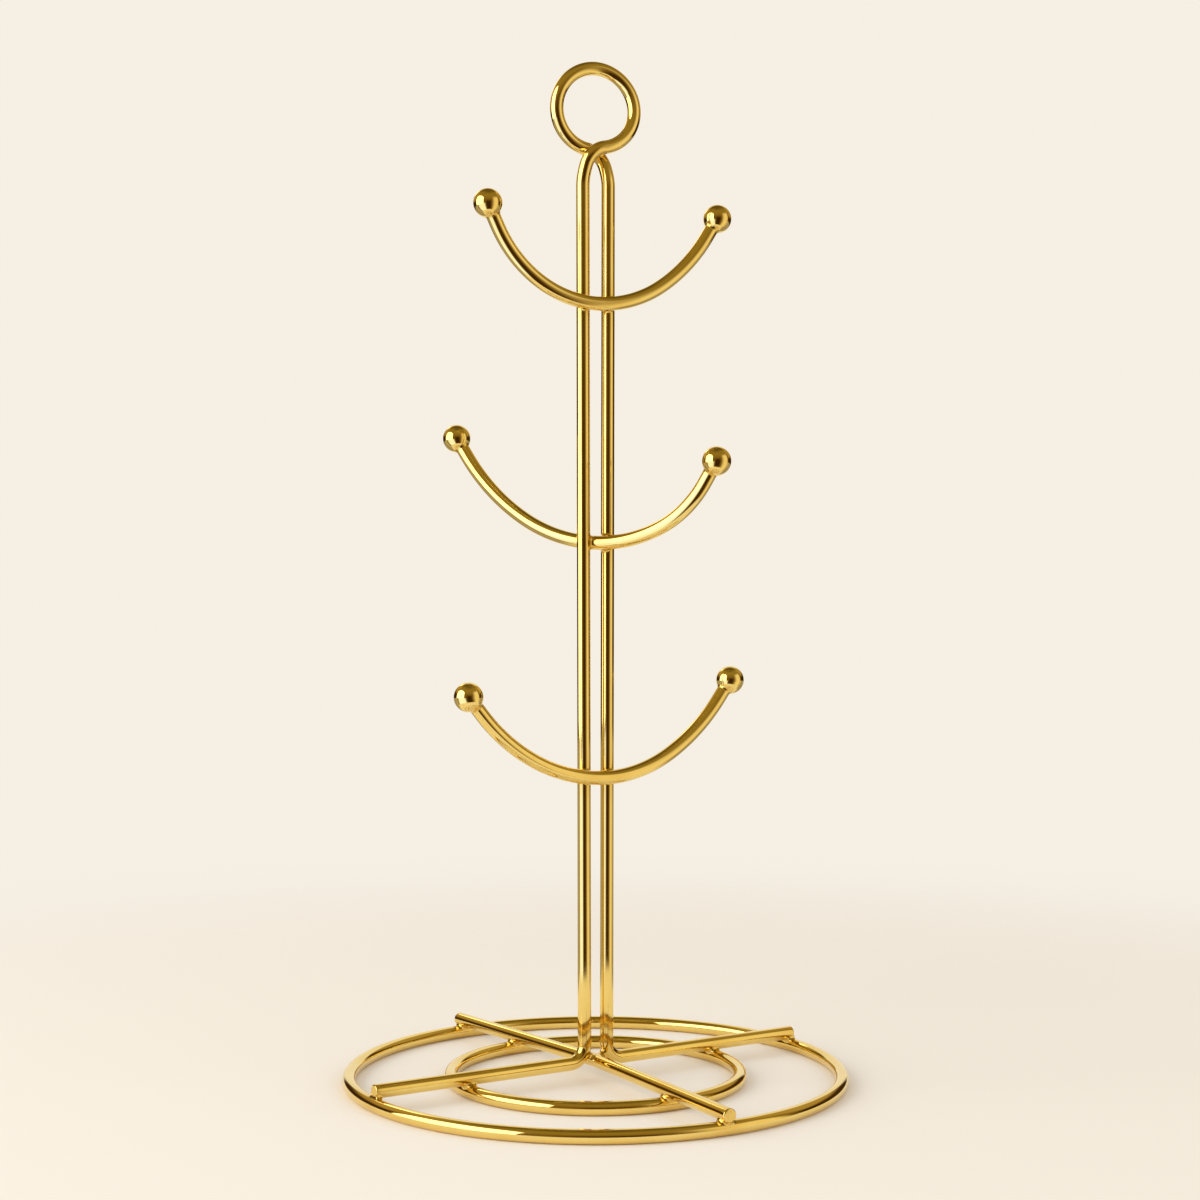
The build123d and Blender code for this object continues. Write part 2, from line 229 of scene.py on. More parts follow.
class BaseSizes(bpy.types.PropertyGroup):
    """Sizes of the two rings and the spokes."""

    wire: length("Wire", box_size("outer_base_ring")[2], "Diameter of the rings, the spokes and the mast")
    outer_ring: length("Outer ring", box_size("outer_base_ring")[0], "Outside diameter of the large ring")
    inner_ring: length("Inner ring", box_size("inner_base_ring")[0], "Outside diameter of the small ring")
    set_down: length("Set down", 0.3 * MM, "Depth to which a spoke beds into the rings")
    cross_front: angle("Cross spoke, front", -61.5, "Direction of the front half of the cross spoke")
    cross_back: angle("Cross spoke, back", 126.5, "Direction of the back half of the cross spoke")
    cross_overhang: length("Cross overhang", 2.4 * MM, "Run of the cross spoke past the ring's middle")
    cross_bend: length("Cross bend", 20.0 * MM, "Radius of the slight bend in the cross spoke")
    cut_round: length("Cut rounding", 0.35 * MM, "Rounding of the edge of a cut wire end")
    cut_dome: length("Cut dome", 0.12 * MM, "How far the middle of a cut end stands out")


class MastSizes(bpy.types.PropertyGroup):
    """Sizes of the hairpin of wire that makes two spokes, both uprights and the top loop."""

    height: length("Height", cad_box[1].z, "Height of the top of the loop")
    upright_gap: length("Upright gap", 4.0 * MM, "Clear space between the two uprights")
    upright_yaw: angle("Upright direction", 36.0, "Direction of the plane of the uprights at their feet")
    spoke_yaw: angle("Spoke direction", 32.5, "Direction of the end of the back-right spoke")
    spoke_overhang: length("Spoke overhang", 0.4 * MM, "How far the spokes run past the ring's middle")
    foot_inside: length("Foot bend", 3.0 * MM, "Inside radius of the bend from an upright into its spoke")
    loop_inside: length("Loop inside", 19.6 * MM, "Inside diameter of the top loop")
    loop_yaw: angle("Loop direction", 21.0, "Direction of the plane of the top loop")
    loop_gap: length("Loop gap", 0.2 * MM, "Clear space between the strands where the loop crosses")
    loop_leave: angle("Loop leave", 80.0, "Heading, from straight down, at which the wire leaves the loop")
    neck_turn: angle("Neck turn", 12.0, "Heading at which the tight bend of the neck meets the wide one")
    neck_bend: length("Neck bend", 30.0 * MM, "Radius of the wide bend that runs into the upright")


class ArmSizes(bpy.types.PropertyGroup):
    """Sizes of the three arms and the balls on their ends."""

    wire: length("Arm wire", 4.2 * MM, "Diameter of the three arms")
    ball: length("Ball", box_size("middle_left_ball")[0], "Diameter of the balls")
    tip: length("Straight tip", 7.0 * MM, "Straight end of an arm, back from the ball's middle")
    tip_past: length("Past the middle", 0.6 * MM, "How far an arm end runs past the ball's middle")
    bore_gap: length("Bore end gap", 0.3 * MM, "Space between an arm's end and the bottom of its bore")
    bore_play: length("Bore play", 0.05 * MM, "Space all round an arm in the ball's bore")
    top_reach: length("Top reach", 34.4 * MM, "Level distance from low point to left ball")
    top_left: angle("Top left slope", 65.0, "Slope of the top arm's left tip")
    top_right: angle("Top right slope", 58.0, "Slope of the top arm's right tip")
    middle_reach: length("Middle reach", 50.5 * MM, "Level distance from low point to left ball")
    middle_left: angle("Middle left slope", 56.0, "Slope of the middle arm's left tip")
    middle_right: angle("Middle right slope", 58.5, "Slope of the middle arm's right tip")
    lower_reach: length("Lower reach", 44.8 * MM, "Level distance from low point to left ball")
    lower_left: angle("Lower left slope", 50.0, "Slope of the lower arm's left tip")
    lower_right: angle("Lower right slope", 53.0, "Slope of the lower arm's right tip")


class WeldSizes(bpy.types.PropertyGroup):
    """Radius of the ball that would roll along each weld, and how full the welds are."""

    front: length("Front arms", 0.6 * MM, "Hollow of the welds of the top and lower arms")
    threaded: length("Middle arm", 0.8 * MM, "Hollow of the welds of the middle arm")
    loop: length("Loop", 0.6 * MM, "Hollow of the weld where the loop crosses")
    hub: length("Hub", 1.2 * MM, "Hollow of the welds between the cross spoke and the foot bends")
    outer: length("Outer ring", 0.8 * MM, "Hollow of the welds on the outer ring")
    inner: length("Inner ring", 0.75 * MM, "Hollow of the welds on the inner ring")
    braze: length("Braze", 1.0 * MM, "Hollow of the braze collars at the balls")
    fullness: factor("Fullness", 0.25, "0 is a hollow weld and 1 a flat one")
    waver: factor("Waver", 0.10, "How much the hollow varies round a weld")
    root: length("Root", 0.25 * MM, "Depth of a weld's hidden root in the wires")


class GoldFinish(bpy.types.PropertyGroup):
    """Colour and polish of the plating."""

    bright: colour("Bright gold", (0.93, 0.72, 0.25), "Colour of the plating where it is thick")
    deep: colour("Deep gold", (0.89, 0.66, 0.20), "Colour of the plating where it is thin or rubbed")
    heated: colour("Heated gold", (0.76, 0.50, 0.11), "Tint of the plating beside a weld")
    wire_roughness: factor("Wire roughness", 0.055, "Roughness of the drawn and polished wire")
    ball_roughness: factor("Ball roughness", 0.045, "Roughness of the polished balls")
    weld_roughness: factor("Weld roughness", 0.16, "Roughness of the weld beads")
    heat_reach: length("Heat reach", 5.0 * MM, "Distance over which the tint beside a weld fades")


class StageSettings(bpy.types.PropertyGroup):
    """Floor, backdrop, tent, lights and camera."""

    floor: colour("Floor", (0.93, 0.87, 0.78), "Colour of the floor")
    backdrop: colour("Backdrop", (0.92, 0.865, 0.775), "Colour of the pale backdrop")
    floor_half: length("Floor half-width", 1.6, "Half the width of the square floor")
    fade_start: length("Fade start", 0.16, "Distance from the axis at which the floor begins to fade")
    fade_end: length("Fade end", 0.55, "Distance from the axis at which only the backdrop is left")
    ambient: factor("Ambient", 0.69, "Strength of the even light from all round")
    ambient_tint: colour("Ambient tint", (1.0, 0.96, 0.90), "Colour of the even light")
    # The tent's colours are glows that only the metal sees, so they are painted reflection: painted walls
    # and roof, painted light on the right, paler painted upper corners, a painted highlight strip behind, a
    # painted sheen below on the left, and painted dark reflection in front and at the wings.
    tent_painted_low: colour("Tent, low", (0.20, 0.125, 0.03), "Colour of the tent's walls near the table")
    tent_painted_high: colour("Tent, high", (0.30, 0.213, 0.05), "Colour of the tent's roof")
    tent_painted_light: colour("Tent, right", (0.95, 0.82, 0.55), "Colour of the lit cloth on the right")
    tent_painted_loft: colour("Tent, loft", (0.44, 0.31, 0.10), "Colour of the tent's upper back corners")
    tent_painted_highlight: colour("Tent, strip", (2.4, 2.2, 1.7), "Colour of the bright strip behind the stand")
    tent_painted_sheen: colour("Tent, sheen", (1.15, 1.3, 1.8), "Colour of the bright cloth below, on the left")
    tent_painted_dark: colour("Tent, dark", (0.05, 0.022, 0.006), "Colour of the dark front and wings of the tent")
    tent_radius: length("Tent radius", 1.53, "Radius of the tent's walls")
    tent_height: length("Tent height", 2.04, "Height of the tent's roof")
    cloth_inside: length("Cloth inside", 0.12, "Radius at which the cloth below the walls begins")
    cloth_up: length("Cloth height", 1.0 * MM, "Height of the cloth below the walls over the table")
    softbox_power: FloatProperty(
        name="Softbox power", description="Power of the left softbox", default=13.4, unit="POWER"
    )
    fill_power: FloatProperty(
        name="Fill power", description="Power of the fill light on the right", default=5.0, unit="POWER"
    )
    softbox_turn: angle("Softbox turn", -65.0, "Angle of the softbox from the front, to the right")
    fill_turn: angle("Fill turn", 60.0, "Angle of the fill light from the front, to the right")
    softbox_away: length("Softbox distance", 1.15, "Distance of the softbox from the stand's axis")
    softbox_up: length("Softbox height", 0.64, "Height of the middle of the softbox")
    softbox_wide: length("Softbox width", 1.43, "Width of the softbox")
    softbox_tall: length("Softbox tallness", 1.23, "Tallness of the softbox")
    lens: FloatProperty(name="Lens", description="Focal length", default=61.4, unit="CAMERA")
    camera_right: length("Camera right", 1.3 * MM, "How far the camera stands to the right of the axis")
    camera_back: length("Camera distance", 603.5 * MM, "How far the camera stands in front of the axis")
    camera_up: length("Camera height", 141.35 * MM, "Height of the level camera")
    camera_near: length("Camera near", 10.0 * MM, "Distance from which the camera sees")


def unit(vectors):
    """Vector, or rows of vectors, at length one."""
    return vectors / np.linalg.norm(vectors, axis=-1, keepdims=True)


def plan(yaw):
    """Level unit vector at an angle from +X."""
    return np.array([math.cos(yaw), math.sin(yaw), 0.0])


class Line(NamedTuple):
    """Middle of a wire: its points in order, and the unit heading at each."""

    points: np.ndarray
    headings: np.ndarray

    def backwards(self):
        """The same line run from its other end."""
        return Line(self.points[::-1], -self.headings[::-1])

    def half_turned(self):
        """The line turned half round about the stand's axis."""
        turn = np.array([-1.0, -1.0, 1.0])
        return Line(self.points * turn, self.headings * turn)

    def where(self, kept):
        """The points of the line that are kept."""
        return Line(self.points[kept], self.headings[kept])


def join(*lines):
    """One line out of several that follow on, without the points that they share."""
    points = [lines[0].points] + [line.points[1:] for line in lines[1:]]
    headings = [lines[0].headings] + [line.headings[1:] for line in lines[1:]]
    return Line(np.concatenate(points), np.concatenate(headings))


def straight(start, end):
    """Straight line: a share of the way from start to end."""
    way = end - start
    count = max(2, math.ceil(np.linalg.norm(way) / STRAIGHT_STEP) + 1)
    share = np.linspace(0.0, 1.0, count)[:, None]
    return Line(start + share * way, np.tile(unit(way), (count, 1)))


def tangent_arc(start, heading, end):
    """Arc that leaves start along heading and comes to end.

    The chord's part square to the heading gives the radius, chord squared over twice that part. At turn t
    the arc lies radius * sin t along the heading and radius * (1 - cos t) along the inward direction.
    """
    chord = end - start
    ahead = chord @ heading
    aside = chord - ahead * heading
    offset = np.linalg.norm(aside)
    if offset < LEAST_BEND * np.linalg.norm(chord):
        return straight(start, end)
    inward = aside / offset
    radius = (chord @ chord) / (2 * offset)
    whole_turn = 2 * math.atan2(offset, ahead)
    count = max(3, math.ceil(radius * whole_turn / ARC_STEP) + 1)
    turn = np.linspace(0.0, whole_turn, count)[:, None]
    points = start + radius * np.sin(turn) * heading + radius * (1 - np.cos(turn)) * inward
    return Line(points, np.cos(turn) * heading + np.sin(turn) * inward)


def biarc(start, heading, end, end_heading):
    """Two arcs that leave start along heading, meet smoothly, and come to end along end_heading.

    The corner of each arc lies reach from its end along the heading there, and the arcs meet midway between
    the corners, so spread * reach squared + 2 * along * reach is the chord squared.
    """
    chord = end - start
    along = chord @ (heading + end_heading)
    spread = 2 * (1 - heading @ end_heading)
    if spread < LEAST_SPREAD:
        reach = (chord @ chord) / (2 * along)
    else:
        reach = (math.sqrt(along**2 + spread * (chord @ chord)) - along) / spread
    meet = (start + end + (heading - end_heading) * reach) / 2
    return join(tangent_arc(start, heading, meet), tangent_arc(end, -end_heading, meet).backwards())


def ring_line(outside, wire):
    """Circle that lies on the table: a turn about the axis at half the wire's height."""
    turn = np.arange(RING_STATIONS) * (2 * math.pi / RING_STATIONS)
    level = np.zeros(RING_STATIONS)
    radius = (outside - wire) / 2
    points = np.stack([radius * np.cos(turn), radius * np.sin(turn), level + wire / 2], axis=-1)
    return Line(points, np.stack([-np.sin(turn), np.cos(turn), level], axis=-1))


def spoke_height(base):
    """Height of the middle of a spoke, which lies on the rings."""
    return base.wire * 1.5 - base.set_down


def spoke_tip(base, yaw, overhang):
    """End of a spoke: out along its direction, past the middle of the outer ring's wire."""
    reach = (base.outer_ring - base.wire) / 2 + overhang
    return plan(yaw) * reach + UP * spoke_height(base)


def cross_lines(base):
    """Front and back halves of the cross spoke, from its middle out.

    The bend at the hub is an arc that touches both straight halves at radius * tan(half the turn).
    """
    hub = UP * spoke_height(base)
    front_tip = spoke_tip(base, base.cross_front, base.cross_overhang)
    back_tip = spoke_tip(base, base.cross_back, base.cross_overhang)
    front = unit(front_tip - hub)
    back = unit(back_tip - hub)
    turn = math.pi - math.acos(front @ back)
    touch = base.cross_bend * math.tan(turn / 2)
    bend = tangent_arc(hub + front * touch, -front, hub + back * touch)
    half = len(bend.points) // 2
    front_part = Line(bend.points[: half + 1], bend.headings[: half + 1]).backwards()
    back_part = Line(bend.points[half:], bend.headings[half:])
    return (
        join(front_part, straight(hub + front * touch, front_tip)),
        join(back_part, straight(hub + back * touch, back_tip)),
    )


def mast_half(base, mast):
    """Line of the front strand, from the top of the loop to the end of the front-left spoke.

    A heading h runs from straight down towards the left. On the loop a point lies radius * cos h across and
    radius * sin h below its middle. Two bends of the neck take it into the upright, and the strand swells
    forward by half the wire's pitch * (1 - cos phase), most where the loop crosses itself.
    """
    across = plan(mast.loop_yaw)
    forward = plan(mast.loop_yaw - math.pi / 2)
    offset = (base.wire + mast.upright_gap) / 2
    radius = (mast.loop_inside + base.wire) / 2
    middle = mast.height - base.wire / 2 - radius
    swell = (base.wire + mast.loop_gap) / 4
    leave = mast.loop_leave
    turn = mast.neck_turn
    wide = mast.neck_bend
    step_across = radius * math.cos(leave) + offset - wide * (1 - math.cos(turn))
    tight = step_across / (math.cos(turn) - math.cos(leave))
    crossing = math.acos(math.cos(leave) * (1 + radius / tight))
    leave_height = middle - radius * math.sin(leave)
    crossing_height = leave_height - tight * (math.sin(leave) - math.sin(crossing))
    turn_height = leave_height - tight * (math.sin(leave) - math.sin(turn))
    turn_across = radius * math.cos(leave) - tight * (math.cos(turn) - math.cos(leave))
    neck_height = turn_height - wide * math.sin(turn)
    loop_length = radius * (math.pi / 2 + leave)
    crossing_length = loop_length + tight * (leave - crossing)
    turn_length = loop_length + tight * (leave - turn)
    neck_length = turn_length + wide * turn

    def knot(aside, height, heading, run):
        """Point and heading of the strand after a run of wire from the top of the loop."""
        if run < crossing_length:
            phase = math.pi * run / crossing_length
            rate = math.pi / crossing_length
        else:
            phase = math.pi * (neck_length - run) / (neck_length - crossing_length)
            rate = -math.pi / (neck_length - crossing_length)
        out = swell * (1 - math.cos(phase))
        slope = swell * math.sin(phase) * rate
        point = across * aside + forward * out + UP * height
        return point, unit(forward * slope - across * math.sin(heading) - UP * math.cos(heading))

    def loop_knot(heading):
        """Knot on the round part of the loop."""
        run = radius * (math.pi / 2 + heading)
        return knot(radius * math.cos(heading), middle - radius * math.sin(heading), heading, run)

    foot = -plan(mast.upright_yaw) * offset + UP * spoke_height(base)
    neck = -across * offset + UP * neck_height
    tip = spoke_tip(base, mast.spoke_yaw + math.pi, mast.spoke_overhang)
    down = unit(foot - neck)
    outward = unit(tip - foot)
    touch = (mast.foot_inside + base.wire / 2) * math.tan(math.acos(down @ outward) / 2)
    bend_start = foot - down * touch
    bend_end = foot + outward * touch
    knots = [loop_knot(math.radians(heading)) for heading in LOOP_KNOTS]
    knots.append(loop_knot(leave))
    knots.append(knot(0.0, crossing_height, crossing, crossing_length))
    knots.append(knot(turn_across, turn_height, turn, turn_length))
    knots.append((neck, down))
    bends = [biarc(*first, *second) for first, second in zip(knots, knots[1:])]
    return join(
        *bends,
        straight(neck, bend_start),
        tangent_arc(bend_start, down, bend_end),
        straight(bend_end, tip),
    )


def arm_ends(arms, tier):
    """Middle of each ball of an arm, and the heading at which the arm enters it."""
    left = box_middle(f"{tier}_left_ball")
    right = box_middle(f"{tier}_right_ball")
    along = unit((right - left) * np.array([1.0, 1.0, 0.0]))
    left_slope = getattr(arms, f"{tier}_left")
    right_slope = getattr(arms, f"{tier}_right")
    left_heading = UP * math.sin(left_slope) - along * math.cos(left_slope)
    right_heading = UP * math.sin(right_slope) + along * math.cos(right_slope)
    return (left, left_heading), (right, right_heading), along


def arm_line(arms, tier):
    """Line of an arm from its left end, down through its lowest point, to its right end."""
    (left, left_heading), (right, right_heading), along = arm_ends(arms, tier)
    low = left + along * getattr(arms, f"{tier}_reach")
    low[2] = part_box(f"{tier}_arm")[0].z + arms.wire / 2
    halves = []
    for ball, heading, side in ((left, left_heading, -along), (right, right_heading, along)):
        bend_end = ball - heading * arms.tip
        tip = straight(bend_end, ball + heading * arms.tip_past)
        halves.append(join(biarc(low, side, bend_end, heading), tip))
    return join(halves[0].backwards(), halves[1])


class Surface(NamedTuple):
    """Grid of points whose columns close, with the place of each on the straightened wire.

    Its rows close too where closed is set. Otherwise its first and last rows are one point each.
    """

    grid: np.ndarray
    lay: np.ndarray
    closed: bool


def with_cut_ends(line, radius, rounding, dome):
    """Line and radii of a wire with cut ends.

    From the middle of the cut the radius grows on a shallow dome, inset = dome * share squared, and then
    round a quarter circle of the given rounding to the wire's own radius.
    """
    share = np.linspace(0.0, 1.0, FACE_ROWS, endpoint=False)
    turn = np.linspace(0.0, math.pi / 2, CUT_ROWS)
    inset = np.concatenate([dome * share**2, dome + rounding * (1 - np.cos(turn))])[:, None]
    end_radii = np.concatenate([share * (radius - rounding), radius - rounding * (1 - np.sin(turn))])
    first = Line(line.points[0] + inset * line.headings[0], np.repeat(line.headings[:1], len(inset), 0))
    last = Line(line.points[-1] - inset * line.headings[-1], np.repeat(line.headings[-1:], len(inset), 0))
    points = np.concatenate([first.points, line.points[1:-1], last.points[::-1]])
    headings = np.concatenate([first.headings, line.headings[1:-1], last.headings])
    whole = np.full(len(line.points) - 2, radius)
    return Line(points, headings), np.concatenate([end_radii, whole, end_radii[::-1]])


def wire_surface(line, radii, reference, closed=False):
    """Circle of the station's radius carried along a line.

    Angle v is counted from the reference direction brought square to the heading, so a point is the station
    plus radius * (cos v of that direction and sin v of the one square to both).
    """
    across = unit(reference - (line.headings @ reference)[:, None] * line.headings)
    over = np.cross(line.headings, across)
    turn = np.arange(WIRE_COLUMNS) * (2 * math.pi / WIRE_COLUMNS)
    cos_turn = np.cos(turn)[None, :, None]
    sin_turn = np.sin(turn)[None, :, None]
    spread = cos_turn * across[:, None] + sin_turn * over[:, None]
    grid = line.points[:, None] + radii[:, None, None] * spread
    steps = np.linalg.norm(np.diff(line.points, axis=0), axis=-1)
    run = np.concatenate([[0.0], np.cumsum(steps)])
    if closed:
        run = np.abs(run - run[-1] / 2)
    flat = np.broadcast_to(run[:, None, None], grid.shape[:2] + (1,))
    lay = np.concatenate([flat, radii[:, None, None] * cos_turn, radii[:, None, None] * sin_turn], axis=-1)
    return Surface(grid, lay, closed)


def cut_wire(line, radius, base, reference):
    """Surface of an open wire with rounded cut ends."""
    stations, radii = with_cut_ends(line, radius, base.cut_round, base.cut_dome)
    return wire_surface(stations, radii, reference)


def turned(profile, middle, axis, columns, closed):
    """Profile of (out, along) pairs turned about an axis: out * (cos v, sin v) across it, and along it."""
    across = unit(np.cross(axis, ALONG_X if abs(axis[2]) > STEEP else UP))
    over = np.cross(axis, across)
    turn = np.arange(columns) * (2 * math.pi / columns)
    spread = np.cos(turn)[:, None] * across + np.sin(turn)[:, None] * over
    out = profile[:, 0][:, None, None]
    along = profile[:, 1][:, None, None]
    grid = middle + out * spread + along * axis
    return Surface(grid, grid, closed)


def bored_ball(arms, middle, heading):
    """Ball turned about its arm: a round outside, then the blind bore that the arm sits in."""
    radius = arms.ball / 2
    bore = arms.wire / 2 + arms.bore_play
    turn = np.linspace(0.0, math.pi - math.asin(bore / radius), BALL_ROWS)
    outside = np.stack([radius * np.sin(turn), radius * np.cos(turn)], axis=-1)
    bottom = arms.tip_past + arms.bore_gap
    inside = np.array([[bore, bottom], [0.0, bottom]])
    return turned(np.concatenate([outside, inside]), middle, heading, BALL_COLUMNS, closed=False)


def braze_collar(arms, welds, middle, heading):
    """Hollow collar between an arm and its ball, turned about the arm.

    Its hollow is an arc of the braze radius that touches the arm and the ball; its root lies inside both.
    """
    hollow = welds.braze
    radius = arms.ball / 2
    out = arms.wire / 2 + hollow
    along = -math.sqrt((radius + hollow) ** 2 - out**2)
    touch = math.atan2(along, out) + math.pi
    turn = np.linspace(math.pi, touch, WELD_COLUMNS)
    arc = np.stack([out + hollow * np.cos(turn), along + hollow * np.sin(turn)], axis=-1)
    root = np.array([arc[-1] * (1 - welds.root / radius), arc[0] - [welds.root, 0.0]])
    root = np.insert(root, 1, [out - hollow - welds.root, arc[-1][1]], axis=0)
    surface = turned(np.concatenate([arc, root]), middle, heading, BALL_COLUMNS, closed=True)
    return Surface(surface.grid.swapaxes(0, 1), surface.lay.swapaxes(0, 1), True)


def tube_distance(line, radius, near, cut=False):
    """Function for the distance of points from a wire, of which only the stretch near a place counts.

    The distance to the wire is that to the nearest of its short straight runs, less its radius. Where the
    wire's last point is a flat cut, the runs go on past it and the plane of the cut bounds them.
    """
    close = np.linalg.norm(line.points - near, axis=-1) < NEARBY
    starts = line.points[:-1][close[:-1]]
    ways = line.points[1:][close[:-1]] - starts
    squares = np.sum(ways**2, axis=-1)
    tip = line.points[-1]
    tip_heading = line.headings[-1]
    longest = np.ones(len(starts))
    if cut:
        longest[-1] = PAST_CUT

    def distance(places):
        """Distance of each place from the wire's skin, below 0 inside."""
        share = np.einsum("pnk,nk->pn", places[:, None] - starts, ways) / squares
        nearest = starts + np.clip(share, 0.0, longest)[..., None] * ways
        side = np.linalg.norm(places[:, None] - nearest, axis=-1).min(axis=-1) - radius
        if not cut:
            return side
        past = (places - tip) @ tip_heading
        outside = np.hypot(np.maximum(side, 0.0), np.maximum(past, 0.0))
        return outside + np.minimum(np.maximum(side, past), 0.0)

    return distance


def contact(first, first_radius, second, second_radius):
    """Place between two wires where they come nearest, and the direction there from first to second.

    From the nearest two stations, each wire is run straight on to the foot of the line square to both.
    """
    apart = np.linalg.norm(first.points[:, None] - second.points[None], axis=-1)
    here, there = np.unravel_index(np.argmin(apart), apart.shape)
    gap = second.points[there] - first.points[here]
    slant = first.headings[here] @ second.headings[there]
    first_share = gap @ first.headings[here]
    second_share = gap @ second.headings[there]
    along_first = (first_share - slant * second_share) / (1 - slant**2)
    along_second = (slant * first_share - second_share) / (1 - slant**2)
    start = first.points[here] + along_first * first.headings[here]
    end = second.points[there] + along_second * second.headings[there]
    normal = unit(end - start)
    return (start + first_radius * normal + end - second_radius * normal) / 2, normal


def rolling_weld(first, second, spot, normal, ball, welds, phase):
    """Closed ring of weld in the corner round a contact.

    Round the contact, the middle of a ball lies reach out and lift up from the spot, so that its distance
    from each wire is its own radius. Newton steps solve both together. The weld is the ball's arc from one
    touch to the other, drawn towards its chord by the fullness, and its root runs back inside the wires.
    """
    wires = (first, second)
    turn = np.arange(WELD_STATIONS) * (2 * math.pi / WELD_STATIONS)
    aside = unit(np.cross(normal, ALONG_X if abs(normal[0]) < NEAR_X else UP))
    ahead = np.cross(normal, aside)
    out = np.cos(turn)[:, None] * aside + np.sin(turn)[:, None] * ahead
    waver = np.sin(2 * turn + phase) + SECOND_WAVE * np.sin(3 * turn + 2 * phase)
    radius = ball * (1 + welds.waver * waver)
    reach = np.full(WELD_STATIONS, FIRST_REACH * math.sqrt(ball * FIRST_WIRE))
    lift = np.zeros(WELD_STATIONS)

    def middles():
        """Middles of the ball round the contact."""
        return spot + reach[:, None] * out + lift[:, None] * normal

    for _ in range(NEWTON_STEPS):
        centre = middles()
        miss = [wire(centre) for wire in wires]
        by_reach = [(wire(centre + SLOPE_STEP * out) - m) / SLOPE_STEP for wire, m in zip(wires, miss)]
        by_lift = [(wire(centre + SLOPE_STEP * normal) - m) / SLOPE_STEP for wire, m in zip(wires, miss)]
        miss = [m - radius for m in miss]
        whole = by_reach[0] * by_lift[1] - by_lift[0] * by_reach[1]
        reach_step = (miss[0] * by_lift[1] - by_lift[0] * miss[1]) / whole
        lift_step = (by_reach[0] * miss[1] - miss[0] * by_reach[1]) / whole
        reach -= np.clip(reach_step, -LONGEST_STEP, LONGEST_STEP)
        lift -= np.clip(lift_step, -LONGEST_STEP, LONGEST_STEP)
    centre = middles()
    if max(np.abs(wire(centre) - radius).max() for wire in wires) > LARGEST_MISS:
        raise RuntimeError(f"a weld near {spot} does not close")

    away = []
    for wire in wires:
        here = wire(centre)
        slopes = [wire(centre + SLOPE_STEP * axis) - here for axis in np.eye(3)]
        away.append(unit(np.stack(slopes, axis=-1)))
    touches = [centre - radius[:, None] * direction for direction in away]
    span = np.arccos(np.clip(np.sum(away[0] * away[1], axis=-1), -1.0, 1.0))[:, None, None]
    share = np.linspace(0.0, 1.0, WELD_COLUMNS)[None, :, None]
    bend = np.sin((1 - share) * span) * away[0][:, None] + np.sin(share * span) * away[1][:, None]
    arc = centre[:, None] - radius[:, None, None] * bend / np.sin(span)
    chord = (1 - share) * touches[0][:, None] + share * touches[1][:, None]
    face = arc + welds.fullness * (chord - arc)
    roots = [touches[i] - welds.root * away[i] for i in (1, 0)]
    heart = spot + HEART * (centre - spot)
    grid = np.concatenate([face, np.stack([roots[0], heart, roots[1]], axis=1)], axis=1)
    return Surface(grid, grid, True)


class Joint(NamedTuple):
    """One weld: the two wires, whether the second ends in a cut there, the weld's hollow and its place."""

    first: Line
    first_radius: float
    second: Line
    second_radius: float
    cut: bool
    ball: float
    spot: np.ndarray
    normal: np.ndarray


def joints(scene):
    """Every weld of the stand, in groups named for their nodes."""
    base = scene.stand_base
    mast = scene.stand_mast
    arms = scene.stand_arms
    welds = scene.stand_welds
    wire = base.wire / 2
    arm_wire = arms.wire / 2
    left = mast_half(base, mast)
    right = left.half_turned()
    front, back = cross_lines(base)
    outer = ring_line(base.outer_ring, base.wire)
    inner = ring_line(base.inner_ring, base.wire)
    below_loop = left.points[:, 2] < mast.height - mast.loop_inside
    strands = left.where(below_loop), right.where(below_loop)

    def joint(first, first_radius, second, second_radius, ball, cut=False):
        """Weld of two wires at the place where they come nearest."""
        spot, normal = contact(first, first_radius, second, second_radius)
        return Joint(first, first_radius, second, second_radius, cut, ball, spot, normal)

    found = {"loop_weld": [joint(strands[0], wire, strands[1], wire, welds.loop)]}
    for tier in TIERS:
        arm = arm_line(arms, tier)
        ball = welds.threaded if tier == "middle" else welds.front
        found[f"{tier}_arm_welds"] = [joint(half, wire, arm, arm_wire, ball) for half in (left, right)]
    whole_cross = join(front.backwards(), back)
    found["hub_welds"] = [joint(half, wire, whole_cross, wire, welds.hub) for half in (left, right)]
    spokes = (left, right, front, back)
    found["outer_ring_welds"] = [joint(outer, wire, spoke, wire, welds.outer, True) for spoke in spokes]
    found["inner_ring_welds"] = [joint(inner, wire, spoke, wire, welds.inner) for spoke in spokes]
    return found


def heat(grid, scene):
    """How near each point is to a weld: 1 at the weld, falling off as exp(-(distance / reach) squared)."""
    spots = np.array([weld.spot for group in joints(scene).values() for weld in group])
    apart = np.linalg.norm(grid[..., None, :] - spots, axis=-1).min(axis=-1)
    return np.exp(-((apart / scene.stand_gold.heat_reach) ** 2))


def numbered(surface):
    """Number of the point at each place of a surface's grid, and those points in order."""
    rows, columns = surface.grid.shape[:2]
    if surface.closed:
        return np.arange(rows * columns).reshape(rows, columns), np.arange(rows * columns)
    inner = 1 + np.arange((rows - 2) * columns).reshape(rows - 2, columns)
    first = np.zeros((1, columns), int)
    last = np.full((1, columns), 1 + (rows - 2) * columns)
    kept = np.concatenate([[0], columns + np.arange((rows - 2) * columns), [(rows - 1) * columns]])
    return np.concatenate([first, inner, last]), kept


